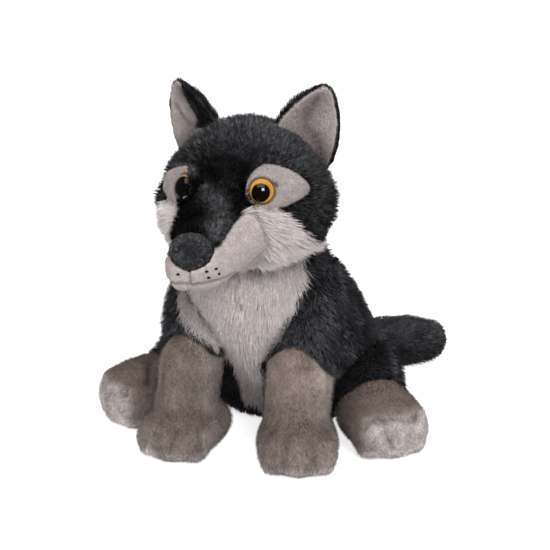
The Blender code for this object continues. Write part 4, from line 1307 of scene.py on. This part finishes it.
# %% What the photograph shows on the legs
# Creases between the toes and round the sole of the left hind foot.
TOE_LINES = {
    ("foreleg", "left"): (((289, 434), (285, 455), (281, 475)), ((310, 438), (314, 455), (316, 472))),
    ("foreleg", "right"): (((176, 432), (171, 450), (170, 464)), ((199, 430), (201, 448), (206, 462))),
    ("hind_leg", "left"): (((366, 428), (370, 423), (381, 420.5), (396, 420.5), (417, 421)),
                           ((386, 423), (385, 434), (393, 449))),
    ("hind_leg", "right"): (((148.6, 362), (148.6, 384)),),
}
# Dimples in the hind feet, each a pixel.
DIMPLES = {("hind_leg", "left"): ((381, 420), (416.6, 417)), ("hind_leg", "right"): ((123.6, 393),)}
# Seams in the black fur of the left legs, drawn as a painted highlight.
SEAM_HIGHLIGHTS = {("foreleg", "left"): (((344, 274), (348, 300), (348, 340), (346, 366)),),
               ("hind_leg", "left"): (((379, 317), (390, 350), (398, 388)),)}
# Painted light on the upper sock of each foreleg.
SOCK_PAINTED_LIGHT = {("foreleg", "left"): 0.28, ("foreleg", "right"): 0.08}
ANKLE_WAIST = {("foreleg", "right"): 3 * MM}
ANKLE_LOW, ANKLE_HIGH, ANKLE_RUN = 30 * MM, 92 * MM, 14 * MM
CREASE_DEPTH = {"foreleg": 0.45, "hind_leg": 0.8}
# How much painted sheen lightens the front of a foot, from where and below what height.
PALE_FRONT = {"foreleg": 0.15, "hind_leg": 0.75}
PALE_FROM = {"foreleg": (20 * MM, 36 * MM), "hind_leg": (0 * MM, 14 * MM)}
PALE_BELOW = {"foreleg": (20 * MM, 40 * MM), "hind_leg": (28 * MM, 36 * MM)}


# %% Fabrics of a leg
BIB_ON_LEG = 18 * MM


def leg_fabrics(places, facing, nodes):
    """The shares of black fur, bib, sock and sole at each point of a leg."""
    to_black, to_sock, to_sole = [distance_to(places, [node]) for node in nodes]
    black = edge(np.minimum(to_sock, to_sole) - to_black, 0.5 * MM)
    bib = edge(inside(places, BIB_OUTLINE), BIB_BLUR) * black
    bib *= (distance_to(places, ["chest_bib"]) < BIB_ON_LEG) * (facing[:, 1] < -0.25)
    black = black - bib
    sole = smoothstep(np.minimum(to_sock, to_black) - to_sole, -0.5 * MM, 3.0 * MM) * (1 - black - bib)
    return black, bib, np.clip(1 - black - bib - sole, 0, 1), sole


def heading_of(sole_node):
    """The middle of a sole, and the level way to it from the middle of the seat."""
    low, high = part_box("torso")
    seat = (low + high) / 2
    low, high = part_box(sole_node)
    middle = np.array((low + high) / 2)
    heading = middle - np.array((seat.x, seat.y, 0))
    heading[2] = 0
    return middle, heading / np.linalg.norm(heading)


def sheen_paleness(places, facing, ahead, kind):
    """How much painted sheen lightens the sock: most at the front of a foot, and a little along its rim and
    flanks.
    """
    sideways = 1 - np.clip(facing[:, 2], 0, 1)
    flank = smoothstep(np.abs(facing[:, 0]), 0.5, 1.0)
    rim = 0.75 * (1 - smoothstep(places[:, 2], 3 * MM, 12 * MM)) + 0.08 * sideways + 0.32 * flank
    low_front = smoothstep(ahead, *PALE_FROM[kind]) * (1 - smoothstep(places[:, 2], *PALE_BELOW[kind]))
    return np.clip(low_front * PALE_FRONT[kind] + rim, 0, 1)


def waist_at(places, facing, key):
    """How far the ankle of a leg is drawn in on its outer side."""
    height = places[:, 2]
    reach = smoothstep(height, ANKLE_LOW, ANKLE_LOW + ANKLE_RUN) * (
        1 - smoothstep(height, ANKLE_HIGH - ANKLE_RUN, ANKLE_HIGH))
    return ANKLE_WAIST.get(key, 0) * reach * smoothstep(-facing[:, 0], 0.1, 0.8)


# %% Legs
LEGS = (("foreleg", "forepaw", "forepaw_sole"), ("hind_leg", "hind_foot", "hind_foot_sole"))
SOCK_DEPTH = 0.5 * MM
LEG_FUR_DEPTH = 2.6 * MM
CREASE_SINK = 1.8 * MM
DIMPLE_SINK = 3.0 * MM


def leg(kinds, word, seed):
    """Makes and dresses one leg with its paw."""
    kind, key = kinds[0], (kinds[0], word)
    nodes = [f"{part}_{word}" for part in kinds]
    obj = stuffed(skin(f"{kind}_skin_{word}", nodes, voxel=3.6 * MM, rounds=1), cap=1.5 * MM)
    places, facing = places_of(obj.data), normals_of(obj.data)
    black, bib, sock, sole = leg_fabrics(places, facing, nodes)
    middle, heading = heading_of(nodes[2])
    front = sheen_paleness(places, facing, (places - middle) @ heading, kind)
    surface = surface_of(obj)
    crease = CREASE_DEPTH[kind] * marked(places, surface, TOE_LINES[key], 2.2 * MM)
    dimple = marked(places, surface, [(pixel, pixel) for pixel in DIMPLES.get(key, ())], 3.5 * MM)
    seam_highlight = marked(places, surface, SEAM_HIGHLIGHTS.get(key, ()), 2.0 * MM)
    lit_upper_sock = 1 + SOCK_PAINTED_LIGHT.get(key, 0) * smoothstep(places[:, 2], 40 * MM, 65 * MM)
    # Painted light on the upper sock, and painted shade in the creases and dimples.
    light = (lit_upper_sock * (1 - 0.5 * np.maximum(crease, dimple)))[:, None]
    tint = blended([black, bib, sock * (1 - front), sock * front + sole], [BLACK, GREY, TAUPE, PALE_SOLE_AND_SHEEN])
    tint[:, :3] *= light
    store(obj.data, "tint", tint)
    depth = LEG_FUR_DEPTH * (black + bib) + SOCK_DEPTH * (1 - black - bib)
    depth = averaged(obj.data, depth[:, None], 2)[:, 0] + waist_at(places, facing, key)
    sink(obj, depth + CREASE_SINK * crease + DIMPLE_SINK * dimple)
    clothe(obj, paw_skin, nodes)
    # The paw's plush takes the same painted sheen, light and shade.
    paw_dye_and_light = blended([1 - front, front + sole], [TAUPE, PALE_SOLE_AND_SHEEN])
    paw_dye_and_light[:, :3] *= light
    # The forelegs' black fur is lightened as painted sheen, with a painted highlight along the drawn seams.
    upper = SHOULDER_SHEEN_BLACK if kind == "foreleg" else BODY_BLACK
    fur_dye_and_highlight = blended([1 - seam_highlight, seam_highlight], [upper, SEAM_HIGHLIGHT_BLACK])
    fur_leg(obj, kinds, word, (black, bib), heading, (fur_dye_and_highlight, paw_dye_and_light), seed)


def fur_leg(obj, kinds, word, shares, heading, dyes_and_light, seed):
    """The long fur of a leg, the edge of the bib on a foreleg, and the plush of the paw."""
    black, bib = shares
    own = [f"{part}_{word}" for part in kinds]
    others = [node for node in [*HEAD_NODES, *TORSO_NODES, *LEG_NODES, "tail"] if node not in own]
    air = open_to_air(places_of(obj.data), others, PRESSED, FREE)
    downward = heading * 0.5 + np.array((0, 0, -0.8))
    lay(obj, black * air, pile=6.2 * MM, comb=downward, dye_and_light=dyes_and_light[0])
    fur(f"{kinds[0]}_fur_{word}", obj, STANDING, body_fibres, seed=seed,
        per_mm2=1.0, width=0.61 * MM, turn=32, tilt=16, lock_turn=75, lock_size=80)
    if kinds[0] == "foreleg":
        lay(obj, bib * air, pile=9.0 * MM, comb=np.array((0.2, -0.3, -1.0)), dye_and_light=GREY)
        fur(f"bib_edge_{word}", obj, LYING, grey_fibres, seed=seed + 8,
            per_mm2=2.4, width=0.40 * MM, turn=16, tilt=13, lock_turn=90, lock_size=70)
    lay(obj, (1 - black - bib) * air, pile=2.4 * MM, comb=downward, dye_and_light=dyes_and_light[1])
    fur(f"{kinds[1]}_nap_{word}", obj, STANDING, taupe_fibres, seed=seed + 1,
        per_mm2=1.1, width=0.40 * MM, turn=35, tilt=22, lock_turn=50, lock_size=100)


for number, (kinds, word) in enumerate((kinds, word) for kinds in LEGS for word in SIDES):
    leg(kinds, word, seed=41 + 2 * number)

# %% [markdown]
# ## Tail
#
# The tail is a plump tube of the same black fur, combed from the root to the tip.

# %% Tail
tail = stuffed(skin("tail_skin", ["tail"], voxel=4.0 * MM, rounds=1), cap=1.5 * MM)
sink(tail, FUR_DEPTH)
store(tail.data, "tint", even(BLACK, tail.data))
clothe(tail, plush_skin, ["tail"])
tail_low, tail_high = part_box("tail")
towards_tip = np.array((tail_high.x - tail_low.x, tail_high.y - tail_low.y, 0.0))
air = open_to_air(places_of(tail.data), [*TORSO_NODES, "hind_leg_left"], low=-1.0 * MM, high=0.4 * MM)
lay(tail, air, pile=5.8 * MM, comb=towards_tip, dye_and_light=BODY_BLACK)
fur("tail_fur", tail, STANDING, body_fibres, seed=61,
    per_mm2=1.15, width=0.58 * MM, turn=40, tilt=16, lock_turn=80, lock_size=90)

# %% [markdown]
# ## Finish
#
# The washers inside the head stay as the CAD made them, in plain moulded plastic. The spare fibres are
# taken away. The dressed toy has to stay the size of the solids.

# %% Washers and spare fibres
washer_finish, washer_tree, washer_shader = new_finish("moulded_plastic", Base_Color=(0.8, 0.8, 0.78, 1))
filled(washer_tree, washer_shader, Roughness=ranged(washer_tree, noise(washer_tree, 900, 2), 0.40, 0.55))
for node in WASHER_NODES:
    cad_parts[node].data.materials.clear()
    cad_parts[node].data.materials.append(washer_finish)
for spare in (LYING, STANDING):
    bpy.data.objects.remove(spare)
